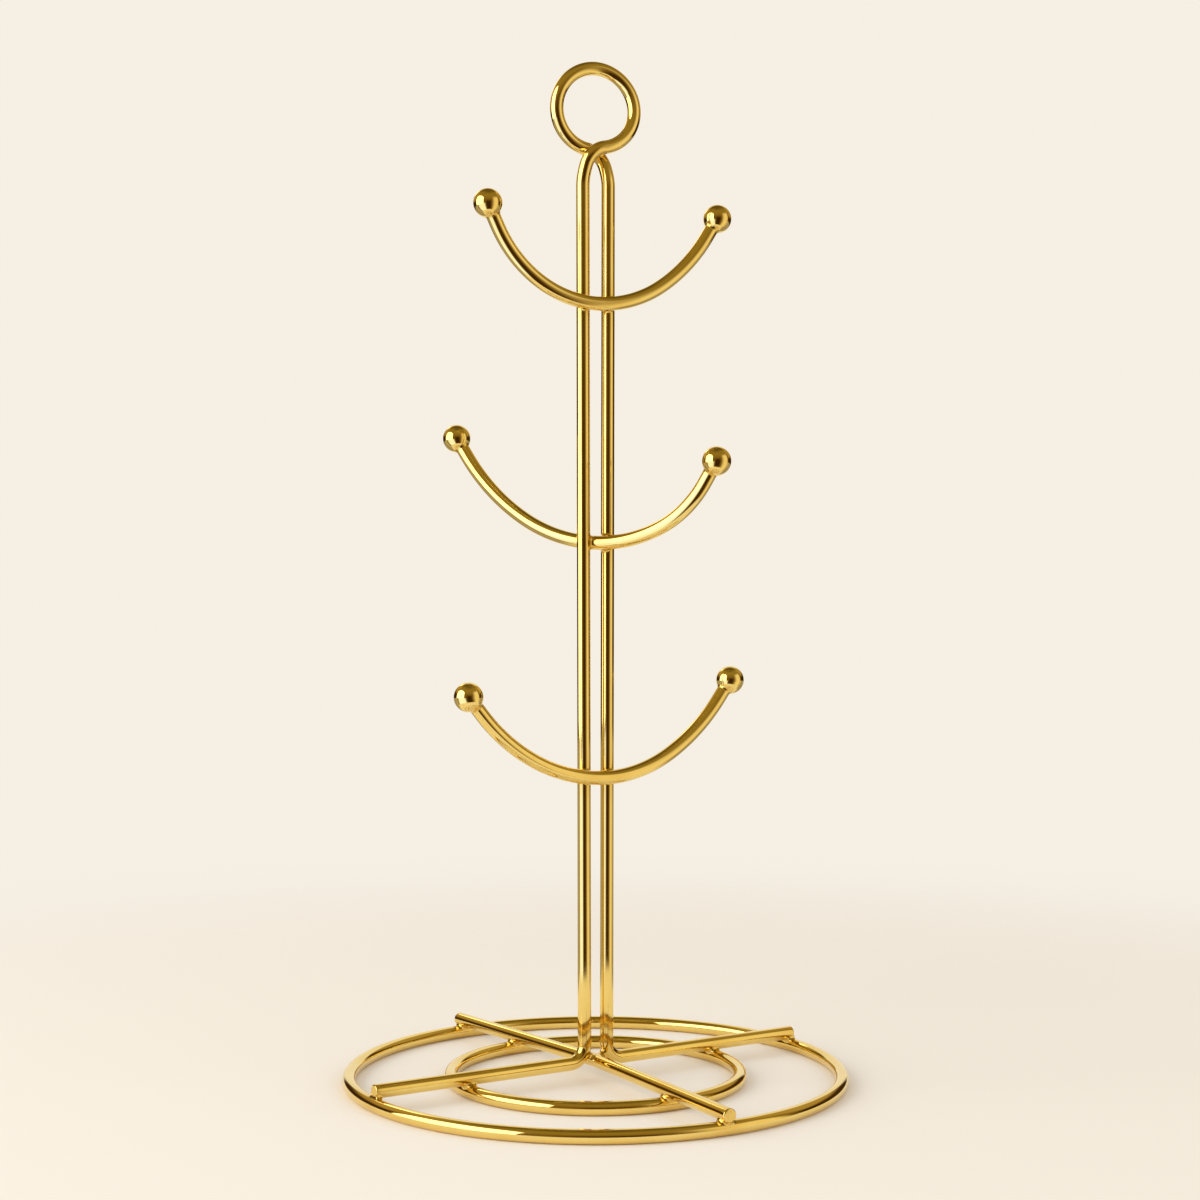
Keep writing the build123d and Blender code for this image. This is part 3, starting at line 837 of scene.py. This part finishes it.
def surface_faces(surface):
    """Corner numbers of the faces, four to a row, and the corners' places on the unrolled grid.

    Faces at a pole have their pole twice.
    """
    number, kept = numbered(surface)
    rows, columns = number.shape
    row = np.arange(rows if surface.closed else rows - 1)[:, None]
    column = np.arange(columns)[None, :]
    row, column = np.broadcast_arrays(row, column)
    corner_rows = np.stack([row, row, row + 1, row + 1], axis=-1).reshape(-1, 4)
    corner_columns = np.stack([column, column + 1, column + 1, column], axis=-1).reshape(-1, 4)
    corners = number[corner_rows % rows, corner_columns % columns]
    places = np.stack([corner_columns / columns, corner_rows / rows], axis=-1)
    points = surface.grid.reshape(-1, 3)[kept]
    a, b, c, d = (points[corners[:, i]] for i in range(4))
    volume = np.sum(a * np.cross(b, c)) + np.sum(a * np.cross(c, d))
    if volume < 0:
        corners = corners[:, ::-1]
        places = places[:, ::-1]
    return corners, places, kept


def surface_mesh(name, surfaces, scene):
    """Mesh of one or more closed surfaces, with a UV map and the attributes that the finish reads.

    On the UV map the unrolled surfaces stand side by side, with a narrow margin between them.
    """
    points = []
    lays = []
    loops = []
    totals = []
    places = []
    count = 0
    for index, surface in enumerate(surfaces):
        corners, corner_places, kept = surface_faces(surface)
        double = corners == np.roll(corners, 1, axis=1)
        strip = (index + UV_MARGIN + (1 - 2 * UV_MARGIN) * corner_places[..., :1]) / len(surfaces)
        corner_places = np.concatenate([strip, corner_places[..., 1:]], axis=-1)
        loops.append(corners[~double] + count)
        places.append(corner_places[~double])
        totals.append(4 - double.sum(axis=1))
        points.append(surface.grid.reshape(-1, 3)[kept])
        lays.append(surface.lay.reshape(-1, 3)[kept])
        count += len(kept)
    points = np.concatenate(points)
    loops = np.concatenate(loops)
    totals = np.concatenate(totals)
    mesh = bpy.data.meshes.new(name)
    mesh.vertices.add(len(points))
    mesh.vertices.foreach_set("co", points.astype(np.float32).ravel())
    mesh.loops.add(len(loops))
    mesh.loops.foreach_set("vertex_index", loops.astype(np.int32))
    mesh.polygons.add(len(totals))
    mesh.polygons.foreach_set("loop_start", (np.cumsum(totals) - totals).astype(np.int32))
    mesh.polygons.foreach_set("use_smooth", np.ones(len(totals), bool))
    mesh.update(calc_edges=True)
    uv = mesh.uv_layers.new(name="wrap")
    uv.data.foreach_set("uv", np.concatenate(places).astype(np.float32).ravel())
    lay = mesh.attributes.new("wire_lay", "FLOAT_VECTOR", "POINT")
    lay.data.foreach_set("vector", np.concatenate(lays).astype(np.float32).ravel())
    near = mesh.attributes.new("weld_heat", "FLOAT", "POINT")
    near.data.foreach_set("value", heat(points, scene).astype(np.float32))
    if mesh.validate():
        raise RuntimeError(f"the mesh of {name} has faults")
    return mesh


def add_piece(name, surfaces, scene, material):
    """Piece of the stand that stands for the node of its name."""
    mesh = surface_mesh(name, surfaces, scene)
    mesh.materials.append(material)
    piece = bpy.data.objects.new(f"{name}_gold", mesh)
    scene.collection.objects.link(piece)
    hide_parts(name)
    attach(piece, BODY)


class Shader:
    """Short way to add nodes to a material or world and link them."""

    def __init__(self, owner):
        owner.use_nodes = True
        self.tree = owner.node_tree
        self.tree.nodes.clear()

    def node(self, kind, inputs=None, **settings):
        """New node with its settings, and its inputs set to values or linked to sockets."""
        made = self.tree.nodes.new(kind)
        for key, value in settings.items():
            setattr(made, key, value)
        for key, value in (inputs or {}).items():
            if isinstance(value, bpy.types.NodeSocket):
                self.tree.links.new(value, made.inputs[key])
            else:
                made.inputs[key].default_value = value
        return made

    def noise(self, place, scale, detail=3.0, roughness=0.55):
        """Value of a noise at a place stretched by three scales."""
        mapping = self.node("ShaderNodeMapping", {"Vector": place, "Scale": scale})
        inputs = {"Vector": mapping.outputs[0], "Scale": 1.0, "Detail": detail, "Roughness": roughness}
        return self.node("ShaderNodeTexNoise", inputs).outputs["Fac"]

    def spread(self, value, old, new):
        """Value spread smoothly from its old range to a new one."""
        inputs = {"Value": value, "From Min": old[0], "From Max": old[1]}
        inputs |= {"To Min": new[0], "To Max": new[1]}
        return self.node("ShaderNodeMapRange", inputs, interpolation_type="SMOOTHSTEP").outputs[0]

    def math(self, operation, first, second):
        """Sum, product or other result of two values."""
        return self.node("ShaderNodeMath", {0: first, 1: second}, operation=operation).outputs[0]

    def blend(self, share, first, second):
        """Colour between two colours."""
        inputs = {"Factor": share, "A": first, "B": second}
        return self.node("ShaderNodeMix", inputs, data_type="RGBA").outputs["Result"]

    def bump(self, height, strength, distance, normal=None):
        """Normal tilted by a height."""
        inputs = {"Height": height, "Strength": strength, "Distance": distance}
        if normal is not None:
            inputs["Normal"] = normal
        return self.node("ShaderNodeBump", inputs).outputs[0]

    def metal(self, metal_colour, rough, normal):
        """Metal surface and its output node."""
        inputs = {"Base Color": metal_colour, "Metallic": 1.0, "Roughness": rough, "Normal": normal}
        self.finish(self.node("ShaderNodeBsdfPrincipled", inputs).outputs[0])

    def part_clear(self, share, surface):
        """Surface that is clear by a share, and its output node."""
        clear = self.node("ShaderNodeBsdfTransparent").outputs[0]
        self.finish(self.node("ShaderNodeMixShader", {0: share, 1: surface, 2: clear}).outputs[0])

    def finish(self, surface, kind="ShaderNodeOutputMaterial"):
        """Output node for the surface."""
        self.node(kind, {"Surface": surface})


def opaque(colour_value):
    """Colour with full alpha."""
    return (*colour_value, 1.0)


def finish_shader(name):
    """Material of a name, and the shader that its nodes are added with."""
    material = bpy.data.materials.get(name) or bpy.data.materials.new(name)
    return material, Shader(material)


def rough_range(roughness, shares):
    """Range of roughness round a finish's own."""
    return roughness * shares[0], roughness * shares[1]


def gold_wire(gold):
    """Drawn, bent and polished wire under bright plating.

    Fine lines run along the wire, slow waves from bending make the reflections wander, and handling leaves
    faint smudges. Beside the welds the plating is deeper in colour and a little duller, and the cut ends
    are matt.
    """
    material, shade = finish_shader("gold_wire")
    lay = shade.node("ShaderNodeAttribute", attribute_name="wire_lay").outputs["Vector"]
    heat_value = shade.node("ShaderNodeAttribute", attribute_name="weld_heat").outputs["Fac"]
    place = shade.node("ShaderNodeTexCoord").outputs["Object"]
    outward = {0: lay, 1: (0.0, 1.0, 1.0)}
    across = shade.node("ShaderNodeVectorMath", outward, operation="MULTIPLY").outputs[0]
    radius = shade.node("ShaderNodeVectorMath", {0: across}, operation="LENGTH").outputs["Value"]
    cut = shade.spread(radius, CUT_EDGE, (1.0, 0.0))
    lines = shade.noise(lay, DRAWN_LINES, detail=2.0)
    waves = shade.noise(lay, BENDING_WAVES, detail=1.0)
    saw = shade.noise(lay, SAW_MARKS, detail=2.0)
    smudges = shade.noise(place, WIRE_SMUDGES, detail=5.0, roughness=0.65)
    tone = shade.spread(smudges, TONE_NOISE, WHOLE)
    plating = shade.blend(tone, opaque(gold.deep), opaque(gold.bright))
    warmth = shade.math("MULTIPLY", heat_value, shade.spread(smudges, WARM_NOISE, WARM_SHARE))
    matt = shade.math("MULTIPLY", cut, shade.spread(saw, SAW_NOISE, SAW_ROUGH))
    rough = shade.spread(smudges, SMUDGE_NOISE, rough_range(gold.wire_roughness, WIRE_ROUGH))
    rough = shade.math("ADD", rough, shade.spread(lines, LINE_NOISE, (0.0, LINE_ROUGH)))
    rough = shade.math("ADD", rough, shade.math("MULTIPLY", heat_value, HEAT_ROUGH))
    rough = shade.math("ADD", rough, matt)
    normal = shade.bump(waves, 1.0, WAVE_HEIGHT)
    normal = shade.bump(lines, 0.25, LINE_HEIGHT, normal)
    normal = shade.bump(shade.math("MULTIPLY", saw, cut), 0.6, SAW_HEIGHT, normal)
    shade.metal(shade.blend(warmth, plating, opaque(gold.heated)), rough, normal)
    return material


def gold_ball(gold):
    """Polished ball: a faint unevenness under the plating, and smudges from handling."""
    material, shade = finish_shader("gold_ball")
    place = shade.node("ShaderNodeTexCoord").outputs["Object"]
    uneven = shade.noise(place, BALL_WAVES, detail=1.0)
    grain = shade.noise(place, BALL_GRAIN, detail=2.0)
    smudges = shade.noise(place, BALL_SMUDGES, detail=5.0, roughness=0.65)
    tone = shade.spread(smudges, TONE_NOISE, WHOLE)
    rough = shade.spread(smudges, SMUDGE_NOISE, rough_range(gold.ball_roughness, BALL_ROUGH))
    normal = shade.bump(uneven, 1.0, BALL_WAVE_HEIGHT)
    normal = shade.bump(grain, 0.2, GRAIN_HEIGHT, normal)
    shade.metal(shade.blend(tone, opaque(gold.deep), opaque(gold.bright)), rough, normal)
    return material


def gold_weld(gold):
    """Weld metal under the plating: soft ripples, deeper in colour and duller than the wire."""
    material, shade = finish_shader("gold_weld")
    place = shade.node("ShaderNodeTexCoord").outputs["Object"]
    ripples = shade.noise(place, WELD_RIPPLES, detail=2.0)
    pits = shade.noise(place, WELD_PITS, detail=2.0)
    tone = shade.spread(ripples, TONE_NOISE, WHOLE)
    rough = shade.spread(pits, PIT_NOISE, rough_range(gold.weld_roughness, WELD_ROUGH))
    normal = shade.bump(ripples, 0.8, RIPPLE_HEIGHT)
    normal = shade.bump(pits, 0.3, PIT_HEIGHT, normal)
    shade.metal(shade.blend(tone, opaque(gold.heated), opaque(gold.deep)), rough, normal)
    return material


class STAND_OT_base_rings(bpy.types.Operator):
    """Add the two wire rings that lie on the table"""

    bl_idname = "stand.base_rings"
    bl_label = "Base Rings"

    def execute(self, context):
        scene = context.scene
        base = scene.stand_base
        radii = np.full(RING_STATIONS, base.wire / 2)
        for name, outside in (("outer_base_ring", base.outer_ring), ("inner_base_ring", base.inner_ring)):
            surface = wire_surface(ring_line(outside, base.wire), radii, UP, closed=True)
            add_piece(name, [surface], scene, gold_wire(scene.stand_gold))
        return {"FINISHED"}


class STAND_OT_cross_spoke(bpy.types.Operator):
    """Add the spoke that runs between the uprights"""

    bl_idname = "stand.cross_spoke"
    bl_label = "Cross Spoke"

    def execute(self, context):
        scene = context.scene
        base = scene.stand_base
        front, back = cross_lines(base)
        surface = cut_wire(join(front.backwards(), back), base.wire / 2, base, UP)
        add_piece("cross_spoke", [surface], scene, gold_wire(scene.stand_gold))
        return {"FINISHED"}


class STAND_OT_mast_loop(bpy.types.Operator):
    """Add the hairpin of wire that makes two spokes, both uprights and the top loop"""

    bl_idname = "stand.mast_loop"
    bl_label = "Mast and Loop"

    def execute(self, context):
        scene = context.scene
        base = scene.stand_base
        mast = scene.stand_mast
        half = mast_half(base, mast)
        whole = join(half.backwards(), half.half_turned())
        surface = cut_wire(whole, base.wire / 2, base, plan(mast.loop_yaw - math.pi / 2))
        add_piece("mast_loop", [surface], scene, gold_wire(scene.stand_gold))
        return {"FINISHED"}


class STAND_OT_arms(bpy.types.Operator):
    """Add the three bent arms"""

    bl_idname = "stand.arms"
    bl_label = "Arms"

    def execute(self, context):
        scene = context.scene
        arms = scene.stand_arms
        for tier in TIERS:
            along = arm_ends(arms, tier)[2]
            surface = cut_wire(arm_line(arms, tier), arms.wire / 2, scene.stand_base, np.cross(along, UP))
            add_piece(f"{tier}_arm", [surface], scene, gold_wire(scene.stand_gold))
        return {"FINISHED"}


class STAND_OT_balls(bpy.types.Operator):
    """Add the bored balls on the arm ends"""

    bl_idname = "stand.balls"
    bl_label = "Balls"

    def execute(self, context):
        scene = context.scene
        arms = scene.stand_arms
        for tier in TIERS:
            for side, (middle, heading) in zip(SIDES, arm_ends(arms, tier)):
                surface = bored_ball(arms, middle, heading)
                add_piece(f"{tier}_{side}_ball", [surface], scene, gold_ball(scene.stand_gold))
        return {"FINISHED"}


class STAND_OT_welds(bpy.types.Operator):
    """Add the welds between the wires"""

    bl_idname = "stand.welds"
    bl_label = "Welds"

    def execute(self, context):
        scene = context.scene
        for name, group in joints(scene).items():
            surfaces = []
            for index, weld in enumerate(group):
                phase = FIRST_PHASE + NEXT_PHASE * index
                first = tube_distance(weld.first, weld.first_radius, weld.spot)
                second = tube_distance(weld.second, weld.second_radius, weld.spot, weld.cut)
                places = (first, second, weld.spot, weld.normal)
                surfaces.append(rolling_weld(*places, weld.ball, scene.stand_welds, phase))
            add_piece(name, surfaces, scene, gold_weld(scene.stand_gold))
        return {"FINISHED"}


class STAND_OT_braze_collars(bpy.types.Operator):
    """Add the braze collars at the necks of the balls"""

    bl_idname = "stand.braze_collars"
    bl_label = "Braze Collars"

    def execute(self, context):
        scene = context.scene
        arms = scene.stand_arms
        ends = [end for tier in TIERS for end in arm_ends(arms, tier)[:2]]
        surfaces = [braze_collar(arms, scene.stand_welds, middle, heading) for middle, heading in ends]
        add_piece("ball_braze_rings", surfaces, scene, gold_weld(scene.stand_gold))
        return {"FINISHED"}


def sheet_mesh(name, grid):
    """Mesh of an open grid of points, one face between each four of them."""
    number = np.arange(grid[..., 0].size).reshape(grid.shape[:2])
    faces = np.stack([number[:-1, :-1], number[1:, :-1], number[1:, 1:], number[:-1, 1:]], axis=-1)
    mesh = bpy.data.meshes.new(name)
    mesh.from_pydata(grid.reshape(-1, 3).tolist(), [], faces.reshape(-1, 4).tolist())
    return mesh


def add_floor(scene, stage):
    """Pale floor, a square grid at Z = 0, that fades into the backdrop away from the stand."""
    rows = np.linspace(-stage.floor_half, stage.floor_half, FLOOR_POINTS)
    across, away = np.meshgrid(rows, rows, indexing="ij")
    mesh = sheet_mesh("floor", np.stack([across, away, np.zeros_like(across)], axis=-1))
    material, shade = finish_shader("floor")
    place = shade.node("ShaderNodeTexCoord").outputs["Object"]
    distance = shade.node("ShaderNodeVectorMath", {0: place}, operation="LENGTH").outputs["Value"]
    fade = shade.spread(distance, (stage.fade_start, stage.fade_end), WHOLE)
    shade.part_clear(fade, shade.node("ShaderNodeBsdfDiffuse", {"Color": opaque(stage.floor)}).outputs[0])
    mesh.materials.append(material)
    floor = bpy.data.objects.new("floor", mesh)
    scene.collection.objects.link(floor)


def add_camera(scene, stage):
    """Level camera that looks along +Y from the front."""
    camera = bpy.data.objects.new("camera", bpy.data.cameras.new("camera"))
    camera.data.lens = stage.lens
    camera.data.clip_start = stage.camera_near
    camera.location = (stage.camera_right, -stage.camera_back, stage.camera_up)
    camera.rotation_euler = (math.pi / 2, 0.0, 0.0)
    scene.collection.objects.link(camera)
    scene.camera = camera


def add_softbox(scene, stage, name, turn, power):
    """Rectangular lamp at an angle from the front, that faces the stand."""
    lamp = bpy.data.lights.new(name, "AREA")
    lamp.shape = "RECTANGLE"
    lamp.size = stage.softbox_wide
    lamp.size_y = stage.softbox_tall
    lamp.energy = power
    box = bpy.data.objects.new(name, lamp)
    place = Vector((math.sin(turn), -math.cos(turn), 0.0)) * stage.softbox_away
    box.location = place + Vector((0.0, 0.0, stage.softbox_up))
    box.rotation_euler = (-place).to_track_quat("-Z", "Y").to_euler()
    box.visible_camera = False
    scene.collection.objects.link(box)
    return box


def rising(value, start, full):
    """Soft edge: a smooth step from 0 at start to 1 at full, share squared * (3 - 2 * share)."""
    share = np.clip((value - start) / (full - start), 0.0, 1.0)
    return share * share * (3 - 2 * share)


def falling(value, fade, end):
    """Soft edge: a smooth step from 1 at fade to 0 at end."""
    return rising(-value, -end, -fade)


def band(value, start, full, fade, end):
    """Both soft edges of a band, which is whole from full to fade."""
    return rising(value, start, full) * falling(value, fade, end)


def tent_look(stage, turn, rise):
    """Glow and openness of the tent at a turn from the front and a rise from the level, in degrees.

    The glow is painted reflection, seen only in the metal: it is paler higher up, and darker again overhead
    and in the roof at the back. Over it lie painted light on the right, paler upper corners at the back, a
    painted highlight strip behind on the left, a painted sheen below on the left, and painted dark
    reflection in front and at the wings. The tent is open at the back, where the pale backdrop shows, and
    below, inside the apron in front and the thin skirt at the sides, where the floor shows.
    """
    side = np.abs(turn)
    below = falling(rise, *BELOW_RISE)
    # Base glow of the painted reflection, paler higher up, with painted shade overhead and in the back roof
    roof = rising(rise, *ROOF_RISE)[..., None]
    glow = np.array(stage.tent_painted_low) * (1 - roof) + np.array(stage.tent_painted_high) * roof
    back_roof = rising(side, *BACK_ROOF_SIDE) * rising(rise, *BACK_ROOF_RISE)
    glow = glow * (1 - ROOF_SHADE * np.maximum(rising(rise, *OVERHEAD_RISE), back_roof)[..., None])
    # Masks of the painted light on the right, the paler painted corners, the painted highlight strip, the
    # painted sheen below and the painted dark reflection in front and at the wings
    lit = band(turn, *LIT_TURN) * falling(rise, *LIT_RISE)
    loft = rising(side, *LOFT_SIDE) * band(rise, *LOFT_RISE)
    strip = band(turn, *STRIP_TURN) * band(rise, *STRIP_RISE)
    sheen = below * band(turn, *SHEEN_TURN)
    front = band(turn, *FRONT_TURN) * falling(rise, *FRONT_RISE)
    dark = np.maximum(front, rising(side, *WING_SIDE) * falling(rise, *WING_RISE))
    painted_layers = (
        (lit, stage.tent_painted_light),
        (loft, stage.tent_painted_loft),
        (strip, stage.tent_painted_highlight),
        (sheen, stage.tent_painted_sheen),
        (dark, stage.tent_painted_dark),
    )
    for share, cloth in painted_layers:
        glow = glow + share[..., None] * (np.array(cloth) - glow)
    back = rising(side, *BACK_SIDE) * falling(rise, *BACK_RISE) * (1 - strip)
    apron = falling(side, *APRON_SIDE) * rising(rise, *APRON_RISE)
    skirt = SKIRT_SHARE * band(side, *SKIRT_SIDE) * rising(rise, *SKIRT_RISE)
    return glow, np.maximum(back, below * (1 - np.maximum(apron, skirt)))


def add_tent(scene, stage):
    """Glowing tent of painted reflections that only the metal sees: a sheet below, walls and a round roof.

    Its profile runs level from near the stand to the foot of the wall, then up a quarter ellipse, and a
    point at turn v from the front lies out * (sin v, -cos v).
    """
    out = np.geomspace(stage.cloth_inside, stage.tent_radius, TENT_ROWS)
    level = np.stack([out, np.full(TENT_ROWS, stage.cloth_up)], axis=-1)
    climb = np.linspace(0.0, math.pi / 2, TENT_ROWS)
    roof = np.stack([stage.tent_radius * np.cos(climb), stage.tent_height * np.sin(climb)], axis=-1)
    profile = np.concatenate([level, roof[1:]])
    turn = np.linspace(-math.pi, math.pi, TENT_COLUMNS)
    across = np.stack([np.sin(turn), -np.cos(turn)], axis=-1)
    heights = np.broadcast_to(profile[:, None, 1:], (len(profile), len(turn), 1))
    mesh = sheet_mesh("tent", np.concatenate([profile[:, None, :1] * across, heights], axis=-1))
    rise = np.degrees(np.arctan2(profile[:, 1] - stage.camera_up, profile[:, 0]))
    glow, gaps = tent_look(stage, np.degrees(turn)[None, :], rise[:, None])
    tint = np.concatenate([glow, np.ones(glow.shape[:2] + (1,))], axis=-1)
    tints = mesh.attributes.new("tent_glow", "FLOAT_COLOR", "POINT")
    tints.data.foreach_set("color", tint.astype(np.float32).ravel())
    opens = mesh.attributes.new("tent_open", "FLOAT", "POINT")
    opens.data.foreach_set("value", gaps.astype(np.float32).ravel())
    material, shade = finish_shader("tent")
    seen = shade.node("ShaderNodeAttribute", attribute_name="tent_glow").outputs["Color"]
    hole = shade.node("ShaderNodeAttribute", attribute_name="tent_open").outputs["Fac"]
    shade.part_clear(hole, shade.node("ShaderNodeEmission", {"Color": seen, "Strength": 1.0}).outputs[0])
    mesh.materials.append(material)
    tent = bpy.data.objects.new("tent", mesh)
    # Only glossy rays see the tent: its glow is painted reflection, and it neither lights nor shades
    # anything
    tent.visible_camera = False
    tent.visible_diffuse = False
    tent.visible_shadow = False
    scene.collection.objects.link(tent)


def add_backdrop(scene, stage):
    """World that is the pale backdrop for the camera, metal and glass, and an even light for the rest."""
    world = bpy.data.worlds.new("backdrop")
    scene.world = world
    shade = Shader(world)
    path = shade.node("ShaderNodeLightPath").outputs
    seen = shade.math("ADD", path["Is Camera Ray"], path["Is Glossy Ray"])
    seen = shade.math("ADD", seen, path["Is Transmission Ray"])
    tint = opaque(stage.ambient_tint)
    even = shade.node("ShaderNodeBackground", {"Color": tint, "Strength": stage.ambient})
    pale = shade.node("ShaderNodeBackground", {"Color": opaque(stage.backdrop), "Strength": 1.0})
    mixed = shade.node("ShaderNodeMixShader", {0: seen, 1: even.outputs[0], 2: pale.outputs[0]})
    shade.finish(mixed.outputs[0], "ShaderNodeOutputWorld")


class STAND_OT_stage(bpy.types.Operator):
    """Add the floor, backdrop, tent, lights and camera"""

    bl_idname = "stand.stage"
    bl_label = "Stage"

    def execute(self, context):
        scene = context.scene
        stage = scene.stand_stage
        add_floor(scene, stage)
        add_camera(scene, stage)
        add_backdrop(scene, stage)
        add_tent(scene, stage)
        add_softbox(scene, stage, "softbox", stage.softbox_turn, stage.softbox_power)
        fill = add_softbox(scene, stage, "fill", stage.fill_turn, stage.fill_power)
        fill.visible_glossy = False
        scene.view_settings.view_transform = "Standard"
        return {"FINISHED"}


class STAND_PT_panel(bpy.types.Panel):
    """Sidebar panel with the sizes and the steps of the stand"""

    bl_label = "Wire Jewellery Stand"
    bl_idname = "STAND_PT_panel"
    bl_space_type = "VIEW_3D"
    bl_region_type = "UI"
    bl_category = "Stand"

    def draw(self, context):
        layout = self.layout
        for group in GROUPS:
            box = layout.box()
            settings = getattr(context.scene, group)
            for key in settings.__annotations__:
                box.prop(settings, key)
        for step in STEPS:
            layout.operator(step.bl_idname)


GROUPS = {
    "stand_base": BaseSizes,
    "stand_mast": MastSizes,
    "stand_arms": ArmSizes,
    "stand_welds": WeldSizes,
    "stand_gold": GoldFinish,
    "stand_stage": StageSettings,
}
STEPS = (
    STAND_OT_base_rings,
    STAND_OT_cross_spoke,
    STAND_OT_mast_loop,
    STAND_OT_arms,
    STAND_OT_balls,
    STAND_OT_welds,
    STAND_OT_braze_collars,
    STAND_OT_stage,
)


def register():
    """Register the property groups, operators and panel."""
    for name, group in GROUPS.items():
        bpy.utils.register_class(group)
        setattr(bpy.types.Scene, name, PointerProperty(type=group))
    for step in STEPS:
        bpy.utils.register_class(step)
    bpy.utils.register_class(STAND_PT_panel)


def unregister():
    """Take them away again."""
    bpy.utils.unregister_class(STAND_PT_panel)
    for step in reversed(STEPS):
        bpy.utils.unregister_class(step)
    for name, group in GROUPS.items():
        delattr(bpy.types.Scene, name)
        bpy.utils.unregister_class(group)


def main():
    """Build the stand and its stage."""
    register()
    bpy.ops.stand.base_rings()
    bpy.ops.stand.cross_spoke()
    bpy.ops.stand.mast_loop()
    bpy.ops.stand.arms()
    bpy.ops.stand.balls()
    bpy.ops.stand.welds()
    bpy.ops.stand.braze_collars()
    bpy.ops.stand.stage()


if __name__ == "__main__":
    main()
